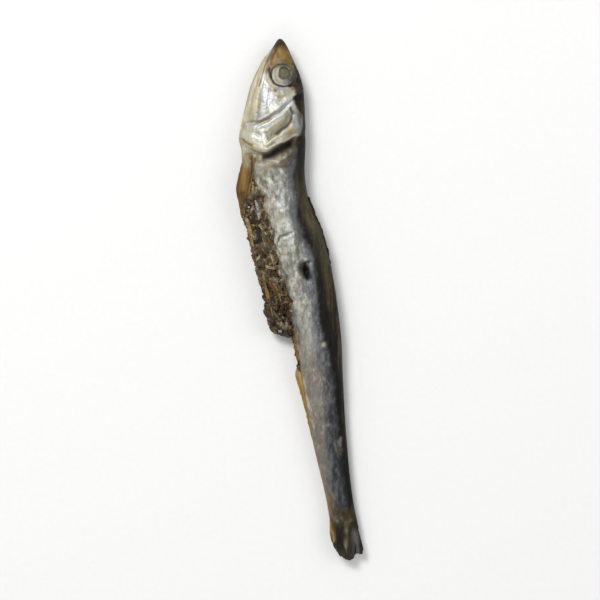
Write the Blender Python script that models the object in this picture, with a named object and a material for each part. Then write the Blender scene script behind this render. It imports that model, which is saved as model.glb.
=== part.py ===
"""Dried anchovy, one solid that lies on its right flank, +Z up.

The snout points to +Y, the back to +X and the split belly to -X. Sizes are in
millimetres and become metres as each point is made. A run is the distance back
from the snout's tip; across is a place along X, from the belly to the back.
"""

import math
import random
from collections import namedtuple

import bmesh
import bpy
from mathutils import Vector, noise

NAME = "dried_anchovy"
MM = 0.001

# Driving dimensions.
LENGTH = 89.2
SNOUT_Y = LENGTH / 2
MID_PLANE = 3.05
GROUND = 0.0
CLEARANCE = 0.15  # the least height of the lump and the fins above what the trunk lies on
UPPER, UNDER = 1, -1

# A section: belly edge and back edge across, thickness, and height of its middle.
Station = namedtuple("Station", "run belly back thick height")

# The trunk from the snout to the root of the tail.
TRUNK = (
    Station(0.0, -3.6, -3.2, 0.4, 3.1),  # tip of the snout
    Station(0.5, -4.05, -2.7, 1.3, 3.1),
    Station(1.4, -4.6, -2.15, 2.4, 3.1),
    Station(2.4, -5.4, -1.7, 3.1, 3.05),
    Station(3.4, -6.2, -1.25, 3.7, 3.0),  # nostril
    Station(6.6, -7.9, 0.1, 5.0, 2.9),  # eye
    Station(9.9, -8.95, 0.7, 5.7, 2.9),  # cheek
    Station(17.0, -10.4, 0.9, 6.2, MID_PLANE),  # corner of the gill cover
    Station(19.0, -10.0, 0.9, 6.1, MID_PLANE),
    Station(22.5, -9.6, 0.8, 6.0, MID_PLANE),  # root of the side fin
    Station(24.6, -7.8, 0.95, 6.0, MID_PLANE),  # front of the split belly
    Station(28.3, -6.5, 1.75, 6.2, 3.0),
    Station(33.6, -4.9, 3.9, 6.2, 2.95),
    Station(40.1, -3.3, 5.55, 6.0, 2.8),
    Station(51.0, -0.9, 7.05, 5.4, 2.5),  # rear of the split belly
    Station(58.0, 0.2, 7.35, 4.8, 2.25),
    Station(68.7, 2.15, 8.0, 3.8, 1.95),
    Station(78.3, 4.4, 9.0, 2.7, 1.95),  # wrist of the tail
    Station(84.0, 5.4, 10.1, 1.2, 2.1),
)
UPPER_POINTS, UNDER_POINTS = 22, 12
HEAD_STEP, BELLY_STEP, REAR_STEP = 0.6, 1.15, 1.9
HEAD_END, BELLY_END = 22.0, 52.0
HEAD_FADE, BODY_FADE = 25.0, 26.0  # where the head's relief ends and the body's is full
KEEL, BACK_ROUNDNESS, TORN_WALL = 1.05, 0.9, 0.62
FLANK_FULLNESS, EDGE_FADE = 0.95, 0.7  # exponents of the section and of its relief
FULL_RELIEF_THICK = 4.0  # the trunk's thickness from which its relief is whole
TEAR_FRONT, TEAR_REAR = (23.0, 25.5), (50.0, 53.0)  # runs over which the torn wall fades

# Relief of the head, as (across, run) lines. The gill cover and the cheek end in folds.
GILL_EDGE = ((-10.5, 17.0), (-8.2, 18.8), (-5.8, 19.6), (-3.4, 18.2), (-1.2, 16.9), (1.0, 13.0))
CHEEK_EDGE = ((-10.0, 14.9), (-7.4, 14.6), (-5.2, 13.4), (-3.0, 12.1), (-1.4, 10.5), (0.6, 8.4))
GILL_LIFT, GILL_RISE, GILL_DROP = 0.4, 3.2, 0.4
SHOULDER_LIFT, SHOULDER_BACK, SHOULDER_WIDE = 0.26, 2.4, 0.7
CHEEK_LIFT, CHEEK_RISE, CHEEK_DROP = 0.26, 1.6, 0.5
COVER_FOLDS = ((-0.22, 0.8, 0.45), (0.2, 2.4, 0.6))  # lift, distance back, half width
JAW_FOLDS = (0.9, 1.75, 2.7)  # distances of the jaw's folds from the belly edge
JAW_LIFT, JAW_FOLD_WIDE = 0.15, 0.28
JAW_FRONT, JAW_REAR = (3.0, 5.0), (13.5, 16.0)  # runs over which the jaw's folds fade
FLANK_GROOVE, GROOVE_PLACE, GROOVE_WIDE = 0.3, 0.1, 0.22
UNDER_GROOVE = 0.3  # the share of the groove that the flank beneath has
FLANK_DENTS, DENT_SIZE, DENT_SPREAD = 0.2, 2.6, 4.0

# Cut channels: a line, half width and depth of each.
MOUTH_LINE = ((-4.3, 0.9), (-5.3, 3.0), (-6.3, 5.4), (-7.0, 8.2))
MOUTH_SIZE = (0.2, 0.3)
SLIT_REACH = (-6.6, 0.3)
SLIT_SIZE = (0.62, 0.85)
SLIT_OFFSET = 0.55
CHANNEL_POINTS, CHANNEL_SIDES, CHANNEL_END = 10, 5, 0.12

# The eye: its sunken socket, the low ball in it and the lens.
EYE_PLACE, SOCKET_RADII = (-2.85, 6.5), (2.4, 2.1)
BALL_PLACE, BALL_RADIUS = (-2.85, 6.4), 1.85
LENS_PLACE, LENS_RADIUS = (-2.6, 5.95), 0.95
SOCKET_DEPTH, BALL_RISE, LENS_RISE = 0.5, 0.12, 0.34
BALL_BED, LENS_BED = 0.5, 0.3  # how deep the middles of the ball and the lens lie
SOCKET_TURN = math.radians(20)

# A torn hole through the skin of the upper flank.
HOLE_PLACE, HOLE_RADII, HOLE_DEPTH = (0.95, 39.6), (0.6, 1.65), 1.1
HOLE_TURN = math.radians(-12)

# The dried roe and gut that show in the split belly.
GUT = (
    Station(22.6, -9.2, -6.5, 3.2, 2.8),
    Station(25.0, -9.9, -5.5, 4.2, 2.7),
    Station(29.3, -9.9, -4.6, 4.8, 2.6),
    Station(34.0, -8.85, -3.4, 4.9, 2.55),
    Station(38.3, -7.75, -2.2, 4.7, 2.45),
    Station(43.7, -6.3, -0.8, 4.5, 2.4),
    Station(48.4, -5.35, 0.2, 4.2, 2.25),
    Station(49.9, -4.7, 0.6, 3.4, 2.1),
    Station(50.9, -2.5, 0.8, 2.4, 2.0),
)
GUT_POINTS, GUT_STEP, GUT_SQUARENESS = 18, 1.1, 0.75
GUT_CRAG, CRAG_SIZE, CRAG_ASIDE = 0.5, 1.4, 0.6
HOLLOW_PLACE, HOLLOW_RADII, HOLLOW_DEPTH = (-3.7, 39.8), (1.3, 1.1), 1.4
GRAINS = 52
GRAIN_RADII = (0.5, 0.95)
GRAIN_TURNS = (math.radians(34), math.radians(176))
GRAIN_SEAT, GRAIN_DENTS = 0.25, (0.85, 1.15)
GRAIN_STRETCH = ((0.8, 1.2), (0.8, 1.3), (0.6, 0.9))
GRAIN_ENDS = (2.0, 0.6)  # bare ends of the lump
GRAIN_SEED = 11
GOLDEN = 0.618

# Fins: inner and outer edges at each run, with the height of the fin's sheet.
SIDE_FIN = (
    Station(19.0, -9.5, -7.9, 0.6, 4.75),
    Station(21.2, -9.95, -7.6, 0.5, 4.6),
    Station(23.5, -10.45, -7.6, 0.45, 4.45),
    Station(26.0, -10.86, -8.1, 0.42, 4.3),
    Station(28.0, -10.45, -8.9, 0.4, 4.15),
    Station(30.4, -9.95, -9.5, 0.4, 4.0),
)
SIDE_FIN_DROP = 1.0  # how far the fin's outer edge hangs below its inner edge
UNDER_FIN_INSET = 0.35
VENT_FIN = (
    Station(55.9, -0.6, 1.4, 0.5, 2.45),
    Station(57.0, -0.85, 1.6, 0.42, 2.45),
    Station(59.6, -0.2, 2.2, 0.4, 2.4),
    Station(62.9, 0.75, 2.9, 0.4, 2.3),
    Station(68.5, 1.95, 3.6, 0.4, 2.1),
)
BACK_FIN = (
    Station(27.0, 0.3, 1.55, 0.7, 4.4),
    Station(29.3, 0.6, 2.4, 0.8, 4.2),
    Station(33.6, 1.9, 4.05, 0.8, 4.1),
    Station(36.3, 2.9, 4.85, 0.8, 4.1),
    Station(39.2, 3.9, 5.3, 0.7, 3.9),
)
BACK_FIN_DROP = 0.9
FIN_STEP, FIN_COLUMNS, FIN_WAVE, FIN_WAVES = 1.15, 4, 0.1, 1.5

# The tail fin: its root, then the profile of its two worn lobes.
TAIL_ROOT = Station(77.4, 4.75, 8.75, 1.7, 1.95)
TAIL_END = (
    (0.0, 5.15, 85.2),
    (0.2, 6.5, 87.7),
    (0.5, 8.2, LENGTH),
    (0.74, 9.6, 88.15),
    (0.9, 10.55, 88.4),
    (1.0, 10.86, 87.5),
)
TAIL_ROWS, TAIL_COLUMNS = 9, 13
TAIL_TIP_THICK, TAIL_THINNING, TAIL_EDGE = 0.5, 0.8, 0.45
TAIL_CURL, TAIL_TWIST, TAIL_TWIST_TURN = 0.5, 0.3, 4.5
TAIL_RAYS, TAIL_RAY_RELIEF = 6, 0.12


def clear_scene():
    """Removes every object of the open scene."""
    for obj in list(bpy.data.objects):
        bpy.data.objects.remove(obj, do_unlink=True)


def ease(value):
    """Smooth step from 0 to 1."""
    t = min(max(value, 0.0), 1.0)
    return t * t * (3 - 2 * t)


def bump(value):
    """Bell of height 1 and half-width 1."""
    return math.exp(-value * value)


def within(value, front, rear):
    """1 between the (start, end) spans at the front and the rear, and eased to 0 over them."""
    risen = ease((value - front[0]) / (front[1] - front[0]))
    return risen * ease((rear[1] - value) / (rear[1] - rear[0]))


def power(value, exponent):
    """The value's size raised to the exponent, with the value's sign."""
    return math.copysign(abs(value) ** exponent, value)


def smooth(knots, at):
    """Height at a place on the cubic curve through the (place, height) knots."""
    if at <= knots[0][0]:
        return knots[0][1]
    if at >= knots[-1][0]:
        return knots[-1][1]
    i = max(k for k in range(len(knots) - 1) if knots[k][0] <= at)
    (x0, y0), (x1, y1) = knots[i], knots[i + 1]

    def slope(k):
        before, after = knots[max(k - 1, 0)], knots[min(k + 1, len(knots) - 1)]
        return (after[1] - before[1]) / (after[0] - before[0])

    span = x1 - x0
    t = (at - x0) / span
    start = (1 + 2 * t) * (1 - t) ** 2 * y0 + t * (1 - t) ** 2 * span * slope(i)
    end = t * t * (3 - 2 * t) * y1 + t * t * (t - 1) * span * slope(i + 1)
    return start + end


def station_at(stations, run):
    """The section at a run, smoothly between the stations."""
    fields = [
        smooth([(station.run, station[k]) for station in stations], run)
        for k in range(1, len(Station._fields))
    ]
    return Station(run, *fields)


def runs(start, end, step):
    """Evenly spaced runs from start to end, both included."""
    count = max(1, round((end - start) / step))
    return [start + (end - start) * k / count for k in range(count + 1)]


def rough(across, run, layer, size):
    """Smooth noise from -1 to 1 with features about as wide as size."""
    return noise.noise(Vector((across / size, run / size, 7.3 * layer)))


def place(across, run, height):
    """A point in metres from its place across, its run and its height."""
    return Vector((across * MM, (SNOUT_Y - run) * MM, height * MM))


def pressed(points, floor):
    """The (across, run, height) points in metres, pressed flat where below the floor."""
    return [place(across, run, max(height, floor)) for across, run, height in points]


def gill_relief(across, run):
    """The gill cover's raised rear edge and the shoulder's band behind its slit."""
    behind = run - smooth(GILL_EDGE, across)
    cover = ease(1 + behind / GILL_RISE) * ease(1 - behind / GILL_DROP)
    return GILL_LIFT * cover + SHOULDER_LIFT * bump((behind - SHOULDER_BACK) / SHOULDER_WIDE)


def cheek_relief(across, run):
    """The fold that divides the cheek from the gill cover, and the cover's own folds."""
    behind = run - smooth(CHEEK_EDGE, across)
    step = CHEEK_LIFT * ease(1 + behind / CHEEK_RISE) * ease(1 - behind / CHEEK_DROP)
    return step + sum(lift * bump((behind - back) / wide) for lift, back, wide in COVER_FOLDS)


def jaw_relief(from_edge, run):
    """Long folds of the jaw beside the belly edge."""
    folds = sum(bump((from_edge - fold) / JAW_FOLD_WIDE) for fold in JAW_FOLDS)
    return JAW_LIFT * within(run, JAW_FRONT, JAW_REAR) * folds


def trunk_relief(across, run, share, from_edge, side):
    """Height of the head's folds and of the flank's dents above the plain section."""
    head = ease((HEAD_FADE - run) / 2)
    body = ease((run - HEAD_END) / (BODY_FADE - HEAD_END))
    folds = gill_relief(across, run) + cheek_relief(across, run) + jaw_relief(from_edge, run)
    groove = FLANK_GROOVE * bump((share - GROOVE_PLACE) / GROOVE_WIDE)
    if side == UNDER:
        groove *= UNDER_GROOVE
    dents = FLANK_DENTS * rough(share * DENT_SPREAD, run, side, DENT_SIZE)
    return head * folds + body * (dents - groove)


def belly_swell(run):
    """How square the belly edge stands: a soft keel, or a wall where the skin is torn."""
    return KEEL + (TORN_WALL - KEEL) * within(run, TEAR_FRONT, TEAR_REAR)


def trunk_point(at, turn):
    """A point round the trunk's section at a turn from the back's edge over the upper flank."""
    cos, sin = math.cos(turn), math.sin(turn)
    half_wide, half_thick = (at.back - at.belly) / 2, at.thick / 2
    share = power(cos, FLANK_FULLNESS)
    rise = power(sin, BACK_ROUNDNESS if cos > 0 else belly_swell(at.run))
    across = at.belly + half_wide * (1 + share)
    normal = Vector((cos * half_thick, sin * half_wide)).normalized()
    relief = trunk_relief(across, at.run, share, across - at.belly, math.copysign(1, sin))
    relief *= abs(sin) ** EDGE_FADE * min(1.0, at.thick / FULL_RELIEF_THICK)
    return across + relief * normal.x, at.height + half_thick * rise + relief * normal.y


def trunk_ring(run):
    """Points round the trunk at a run, closer together on the upper flank."""
    at = station_at(TRUNK, run)
    turns = [math.pi * k / UPPER_POINTS for k in range(UPPER_POINTS)]
    turns += [math.pi * (1 + k / UNDER_POINTS) for k in range(UNDER_POINTS)]
    found = [trunk_point(at, turn) for turn in turns]
    return pressed([(across, run, height) for across, height in found], GROUND)


def flank_height(across, run, side):
    """Height of the trunk's upper or under side at a place, relief included."""
    at = station_at(TRUNK, run)
    share = 2 * (across - at.belly) / (at.back - at.belly) - 1
    cos = power(min(max(share, -0.99), 0.99), 1 / FLANK_FULLNESS)
    return trunk_point(at, side * math.acos(cos))[1]


def gut_point(at, turn):
    """A point on the craggy lump in the belly, as across and height."""
    cos, sin = math.cos(turn), math.sin(turn)
    across = (at.belly + at.back) / 2 + (at.back - at.belly) / 2 * cos
    crag = GUT_CRAG * rough(across, at.run, sin, CRAG_SIZE)
    aside = (across - HOLLOW_PLACE[0]) / HOLLOW_RADII[0]
    along = (at.run - HOLLOW_PLACE[1]) / HOLLOW_RADII[1]
    hollow = HOLLOW_DEPTH * bump(math.hypot(aside, along)) * max(sin, 0.0)
    height = at.height + at.thick / 2 * power(sin, GUT_SQUARENESS) + crag - hollow
    return across + CRAG_ASIDE * crag * cos, height


def gut_ring(run):
    """Points round the lump in the belly at a run."""
    at = station_at(GUT, run)
    found = [gut_point(at, 2 * math.pi * k / GUT_POINTS) for k in range(GUT_POINTS)]
    return pressed([(across, run, height) for across, height in found], CLEARANCE)


def new_object(name, mesh_builder):
    """A linked object whose closed mesh the builder fills, with outward faces."""
    bm = bmesh.new()
    mesh_builder(bm)
    bmesh.ops.recalc_face_normals(bm, faces=bm.faces)
    mesh = bpy.data.meshes.new(name)
    bm.to_mesh(mesh)
    bm.free()
    obj = bpy.data.objects.new(name, mesh)
    bpy.context.scene.collection.objects.link(obj)
    return obj


def loft(bm, rings):
    """Joins the rings into a closed skin with a fan over each end."""
    rows = [[bm.verts.new(point) for point in ring] for ring in rings]
    count = len(rows[0])
    for row, following in zip(rows, rows[1:]):
        for k in range(count):
            bm.faces.new((row[k], row[(k + 1) % count], following[(k + 1) % count], following[k]))
    for row in (rows[0], rows[-1]):
        tip = bm.verts.new(sum((vert.co for vert in row), Vector()) / count)
        for k in range(count):
            bm.faces.new((row[k], row[(k + 1) % count], tip))


def sheet(bm, rows):
    """A thin closed sheet from rows of (across, run, height, thickness) points."""
    sides = [
        [
            [bm.verts.new(place(a, run, h + half * thick)) for a, run, h, thick in row]
            for row in rows
        ]
        for half in (0.5, -0.5)
    ]
    last_row, last_column = len(rows) - 1, len(rows[0]) - 1
    for side in sides:
        for i in range(last_row):
            for j in range(last_column):
                a, b, c, d = side[i][j], side[i][j + 1], side[i + 1][j + 1], side[i + 1][j]
                bm.faces.new((a, b, c))
                bm.faces.new((a, c, d))
    rim = [(0, j) for j in range(last_column)]
    rim += [(i, last_column) for i in range(last_row)]
    rim += [(last_row, j) for j in range(last_column, 0, -1)]
    rim += [(i, 0) for i in range(last_row, 0, -1)]
    upper, lower = sides
    for (i, j), (m, n) in zip(rim, rim[1:] + rim[:1]):
        bm.faces.new((upper[i][j], upper[m][n], lower[m][n], lower[i][j]))


def lens(bm, middle, radii, height, half_thick, turn=0.0):
    """A flat egg round a height, its radii across and along the run, turned in plan."""
    cos, sin = math.cos(turn), math.sin(turn)
    for vert in bmesh.ops.create_icosphere(bm, subdivisions=2, radius=1.0)["verts"]:
        aside, along = vert.co.x * radii[0], vert.co.y * radii[1]
        across = middle[0] + aside * cos + along * sin
        run = middle[1] - along * cos + aside * sin
        vert.co = place(across, run, height + vert.co.z * half_thick)


def channel(bm, line, size, side):
    """A cutter that follows a line over the flank and tapers to both its ends."""
    half_wide, depth = size
    first, last = line[0][0], line[-1][0]
    rings = []
    for k in range(CHANNEL_POINTS):
        share = k / (CHANNEL_POINTS - 1)
        across = first + (last - first) * share
        run = smooth(line, across)
        taper = CHANNEL_END + (1 - CHANNEL_END) * math.sin(math.pi * share) ** 0.6
        surface = flank_height(across, run, side)
        ring = []
        for n in range(CHANNEL_SIDES):
            turn = 2 * math.pi * n / CHANNEL_SIDES
            along = run + half_wide * taper * math.cos(turn)
            ring.append(place(across, along, surface + depth * taper * math.sin(turn)))
        rings.append(ring)
    loft(bm, rings)


def strip_rows(stations, drop, side):
    """Rows of a narrow fin; drop lowers its outer edge, and the under side mirrors the upper."""
    rows = []
    for run in runs(stations[0].run, stations[-1].run, FIN_STEP):
        at = station_at(stations, run)
        row = []
        for j in range(FIN_COLUMNS):
            share = j / (FIN_COLUMNS - 1)
            wave = FIN_WAVE * math.cos(2 * math.pi * FIN_WAVES * share)
            height = at.height - drop * (1 - share) + wave
            if side == UNDER:
                height = max(2 * MID_PLANE - height, CLEARANCE + at.thick / 2)
            row.append((at.belly + (at.back - at.belly) * share, run, height, at.thick))
        rows.append(row)
    return rows


def edges_swapped(stations):
    """The same strip with its outer edge on the back's side."""
    return [station._replace(belly=station.back, back=station.belly) for station in stations]


def tail_rows():
    """Rows of the tail fin, from its root to the worn edge of its lobes."""
    rows = []
    for i in range(TAIL_ROWS):
        along = i / (TAIL_ROWS - 1)
        row = []
        for j in range(TAIL_COLUMNS):
            share = j / (TAIL_COLUMNS - 1)
            root = TAIL_ROOT.belly + (TAIL_ROOT.back - TAIL_ROOT.belly) * share
            tip = smooth([(s, across) for s, across, _ in TAIL_END], share)
            end = smooth([(s, run) for s, _, run in TAIL_END], share)
            ray = TAIL_RAY_RELIEF * math.cos(2 * math.pi * TAIL_RAYS * share) * ease(along * 3)
            bend = TAIL_CURL * along ** 2
            bend += TAIL_TWIST * along * math.sin(TAIL_TWIST_TURN * share)
            edge = TAIL_EDGE + (1 - TAIL_EDGE) * max(math.sin(math.pi * share), 0.0) ** 0.6
            thinning = (TAIL_TIP_THICK - TAIL_ROOT.thick) * along ** TAIL_THINNING
            thick = (TAIL_ROOT.thick + thinning) * edge
            run = TAIL_ROOT.run + (end - TAIL_ROOT.run) * along
            row.append((root + (tip - root) * along, run, TAIL_ROOT.height + bend + ray, thick))
        rows.append(row)
    return rows


def grain(bm, rng, share):
    """One dried grain on the lump, along it by the share and round it by the golden ratio."""
    start, end = GUT[0].run + GRAIN_ENDS[0], GUT[-1].run - GRAIN_ENDS[1]
    at = station_at(GUT, start + (end - start) * share)
    low, high = GRAIN_TURNS
    across, height = gut_point(at, low + (high - low) * (share * GRAINS * GOLDEN % 1.0))
    radius = rng.uniform(*GRAIN_RADII)
    centre = place(across, at.run, height - GRAIN_SEAT * radius)
    stretch = Vector([rng.uniform(*span) for span in GRAIN_STRETCH])
    for vert in bmesh.ops.create_icosphere(bm, subdivisions=1, radius=radius * MM)["verts"]:
        vert.co = centre + vert.co * stretch * rng.uniform(*GRAIN_DENTS)


def apply_boolean(target, operation, tools):
    """Cuts or joins the tools on the target for good, then removes them."""
    group = bpy.data.collections.new("tools")
    bpy.context.scene.collection.children.link(group)
    for tool in tools:
        group.objects.link(tool)
    step = target.modifiers.new(operation.lower(), "BOOLEAN")
    step.operation = operation
    step.operand_type = "COLLECTION"
    step.collection = group
    graph = bpy.context.evaluated_depsgraph_get()
    mesh = bpy.data.meshes.new_from_object(target.evaluated_get(graph))
    target.modifiers.clear()
    target.data = mesh
    for tool in tools:
        bpy.data.objects.remove(tool, do_unlink=True)
    bpy.data.collections.remove(group)


def head_cutters():
    """Cutters for the sockets, gill slits and mouth lines of both flanks, and for the hole."""
    low, high = SLIT_REACH
    places = [low + (high - low) * k / (CHANNEL_POINTS - 1) for k in range(CHANNEL_POINTS)]
    slit = [(across, smooth(GILL_EDGE, across) + SLIT_OFFSET) for across in places]
    mouth = sorted(MOUTH_LINE)
    cutters = []
    for side in (UPPER, UNDER):
        skin = flank_height(*EYE_PLACE, side)
        socket = (EYE_PLACE, SOCKET_RADII, skin, SOCKET_DEPTH, SOCKET_TURN)
        cutters += [
            new_object("socket", lambda bm, socket=socket: lens(bm, *socket)),
            new_object("slit", lambda bm, side=side: channel(bm, slit, SLIT_SIZE, side)),
            new_object("mouth", lambda bm, side=side: channel(bm, mouth, MOUTH_SIZE, side)),
        ]
    hole = (HOLE_PLACE, HOLE_RADII, flank_height(*HOLE_PLACE, UPPER), HOLE_DEPTH, HOLE_TURN)
    cutters.append(new_object("hole", lambda bm: lens(bm, *hole)))
    return cutters


def build_eyes():
    """The low ball and the lens in each socket."""
    parts = []
    for side in (UPPER, UNDER):
        skin = flank_height(*EYE_PLACE, side)
        bed, seat = skin - side * BALL_BED, skin - side * LENS_BED
        ball = (BALL_PLACE, (BALL_RADIUS, BALL_RADIUS), bed, BALL_BED + BALL_RISE)
        pupil = (LENS_PLACE, (LENS_RADIUS, LENS_RADIUS), seat, LENS_BED + LENS_RISE)
        parts += [
            new_object("ball", lambda bm, ball=ball: lens(bm, *ball)),
            new_object("pupil", lambda bm, pupil=pupil: lens(bm, *pupil)),
        ]
    return parts


def build_trunk():
    """Head and body down to the tail's wrist, with its slits, sockets and hole cut."""
    places = runs(0.0, HEAD_END, HEAD_STEP)
    places += runs(HEAD_END, BELLY_END, BELLY_STEP)[1:]
    places += runs(BELLY_END, TRUNK[-1].run, REAR_STEP)[1:]
    trunk = new_object(NAME, lambda bm: loft(bm, [trunk_ring(run) for run in places]))
    apply_boolean(trunk, "DIFFERENCE", head_cutters())
    return trunk


def build_gut():
    """The lump of dried roe and gut, and the grains on it."""
    places = runs(GUT[0].run, GUT[-1].run, GUT_STEP)
    rng = random.Random(GRAIN_SEED)
    lump = new_object("gut", lambda bm: loft(bm, [gut_ring(run) for run in places]))
    grains = [
        new_object(f"grain_{k}", lambda bm, k=k: grain(bm, rng, (k + 0.5) / GRAINS))
        for k in range(GRAINS)
    ]
    return [lump, *grains]


def build_fins():
    """The two side fins, the folded back fin, the vent fin and the tail."""
    under = [at._replace(belly=at.belly + UNDER_FIN_INSET) for at in SIDE_FIN]
    back = edges_swapped(BACK_FIN)
    return [
        new_object("side_fin", lambda bm: sheet(bm, strip_rows(SIDE_FIN, SIDE_FIN_DROP, UPPER))),
        new_object("under_fin", lambda bm: sheet(bm, strip_rows(under, SIDE_FIN_DROP, UNDER))),
        new_object("vent_fin", lambda bm: sheet(bm, strip_rows(VENT_FIN, 0.0, UPPER))),
        new_object("back_fin", lambda bm: sheet(bm, strip_rows(back, BACK_FIN_DROP, UPPER))),
        new_object("tail_fin", lambda bm: sheet(bm, tail_rows())),
    ]


def skin_material():
    """Dull silver skin that has dried to a dark grey."""
    material = bpy.data.materials.new("dried skin")
    material.use_nodes = True
    shader = material.node_tree.nodes["Principled BSDF"]
    shader.inputs["Base Color"].default_value = (0.22, 0.21, 0.19, 1.0)
    shader.inputs["Roughness"].default_value = 0.42
    shader.inputs["Metallic"].default_value = 0.35
    return material


def keep_largest_shell(obj):
    """Drops the shells of sealed hollows and loose scraps, which leaves one body."""
    bm = bmesh.new()
    bm.from_mesh(obj.data)
    waiting, shells = set(bm.verts), []
    while waiting:
        shell, front = set(), [waiting.pop()]
        while front:
            vert = front.pop()
            shell.add(vert)
            found = {edge.other_vert(vert) for edge in vert.link_edges} & waiting
            waiting -= found
            front.extend(found)
        shells.append(shell)
    shells.sort(key=len)
    for shell in shells[:-1]:
        bmesh.ops.delete(bm, geom=list(shell), context="VERTS")
    bm.to_mesh(obj.data)
    bm.free()


def stand_on_origin(obj):
    """Moves the mesh so that the middle of its box's underside is at the origin."""
    places = [[vert.co[axis] for vert in obj.data.vertices] for axis in range(3)]
    low, high = [min(values) for values in places], [max(values) for values in places]
    shift = Vector((-(low[0] + high[0]) / 2, -(low[1] + high[1]) / 2, -low[2]))
    for vert in obj.data.vertices:
        vert.co += shift


def build_anchovy():
    """Joins the trunk, the eyes, the lump in the belly and the fins into the one solid fish."""
    fish = build_trunk()
    apply_boolean(fish, "UNION", build_eyes() + build_gut() + build_fins())
    keep_largest_shell(fish)
    stand_on_origin(fish)
    fish.data.materials.clear()
    fish.data.materials.append(skin_material())
    fish.data.shade_smooth()
    fish.data.set_sharp_from_angle(angle=math.radians(50))


clear_scene()
build_anchovy()
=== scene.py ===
"""Scene of a dried anchovy that lies on its right flank on a pale floor.

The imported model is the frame. The snout points to +Y, the back to +X and the split
belly to -X. Forms are worked out in millimetres: a run is the distance back from
the tip of the snout, and across is a place along X. Meshes are made in metres.
"""

import logging
import math
from dataclasses import dataclass
from enum import Enum, IntEnum
from typing import Iterator, NamedTuple, Sequence

import bmesh
import bpy
import numpy as np
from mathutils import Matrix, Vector

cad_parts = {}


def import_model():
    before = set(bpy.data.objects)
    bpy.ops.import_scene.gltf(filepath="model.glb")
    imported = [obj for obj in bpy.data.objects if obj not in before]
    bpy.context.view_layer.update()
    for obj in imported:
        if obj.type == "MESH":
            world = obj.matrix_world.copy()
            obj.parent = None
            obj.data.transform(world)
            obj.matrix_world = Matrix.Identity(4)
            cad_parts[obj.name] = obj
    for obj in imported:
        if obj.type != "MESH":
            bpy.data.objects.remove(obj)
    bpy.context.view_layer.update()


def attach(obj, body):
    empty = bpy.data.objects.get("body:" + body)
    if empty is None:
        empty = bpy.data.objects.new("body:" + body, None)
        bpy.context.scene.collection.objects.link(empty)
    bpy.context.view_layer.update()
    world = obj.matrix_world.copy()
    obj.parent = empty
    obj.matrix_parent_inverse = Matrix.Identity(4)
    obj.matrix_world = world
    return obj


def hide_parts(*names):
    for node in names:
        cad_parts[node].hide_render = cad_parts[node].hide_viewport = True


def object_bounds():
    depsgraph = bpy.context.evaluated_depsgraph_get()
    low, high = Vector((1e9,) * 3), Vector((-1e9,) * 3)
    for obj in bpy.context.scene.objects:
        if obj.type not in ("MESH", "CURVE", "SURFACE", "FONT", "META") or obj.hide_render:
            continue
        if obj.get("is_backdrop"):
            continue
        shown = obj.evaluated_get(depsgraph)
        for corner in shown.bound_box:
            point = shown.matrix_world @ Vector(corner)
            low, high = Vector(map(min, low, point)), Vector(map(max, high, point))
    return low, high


LOG = logging.getLogger("anchovy")
MM = 0.001
NODE = "dried_anchovy"
BODY = "root"
LENGTH = 89.2
SNOUT_Y = LENGTH / 2
WELD = 0.002  # how close vertices are that a weld merges
FULL_TURN = 2 * math.pi
SPACING = 0.95  # exponent that spaces the columns of the skin from belly to back

Array = np.ndarray
Pair = tuple[float, float]
Line = tuple[Pair, ...]
Colour = tuple[float, float, float]


class Side(IntEnum):
    """A flank of the fish: the upper one shows, and the fish lies on the under one."""

    UPPER = 1
    UNDER = -1

    @property
    def word(self) -> str:
        """The flank's name as the pieces use it."""
        return self.name.lower()


class Tone(Enum):
    """Colours of the dried fish, as red, green and blue from 0 to 255."""

    PEARL = (226, 230, 226)
    SILVER = (184, 187, 184)
    PALE = (172, 171, 162)
    GREY = (130, 129, 125)
    PINK_GREY = (132, 123, 116)
    BLUE_GREY = (88, 91, 97)
    SLATE = (56, 58, 62)
    BLACK = (16, 14, 12)
    UMBER = (50, 37, 23)
    BROWN = (100, 70, 34)
    GOLD = (148, 116, 60)
    HONEY = (176, 148, 92)
    BEIGE = (188, 180, 148)
    CREAM = (216, 211, 186)
    OLIVE = (98, 92, 66)
    DARK_OLIVE = (50, 47, 36)

    def linear(self) -> Array:
        """Linear red, green and blue from 0 to 1, as shaders and attributes hold them."""
        part = np.array(self.value) / 255
        return np.where(part > 0.04045, ((part + 0.055) / 1.055) ** 2.4, part / 12.92)


(
    PEARL, SILVER, PALE, GREY, PINK_GREY, BLUE_GREY, SLATE, BLACK,
    UMBER, BROWN, GOLD, HONEY, BEIGE, CREAM, OLIVE, DARK_OLIVE,
) = Tone


def ease(value: Array) -> Array:
    """Smooth step from 0 to 1."""
    t = np.clip(value, 0.0, 1.0)
    return t * t * (3 - 2 * t)


def bump(value: Array) -> Array:
    """Bell of height 1 and half-width 1."""
    return np.exp(-np.square(value))


def power(value: Array, exponent: Array | float) -> Array:
    """The size of each value raised to the exponent, with the value's own sign."""
    return np.sign(value) * np.abs(value) ** exponent


def over(value: Array, start: float, soft: float) -> Array:
    """0 up to the start, then rising to 1 over a soft width."""
    return ease((value - start) / soft)


def below(value: Array, end: float, soft: float) -> Array:
    """1 until a soft width before the end, then falling to 0 at the end."""
    return ease((end - value) / soft)


def hill(value: Array, middle: float, half: float) -> Array:
    """Bell of height 1 round the middle."""
    return bump((value - middle) / half)


def between(value: Array, start: float, end: float, soft: float) -> Array:
    """1 from start to end, with soft shoulders outside them."""
    return ease((value - start) / soft + 1) * ease((end - value) / soft + 1)


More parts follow.
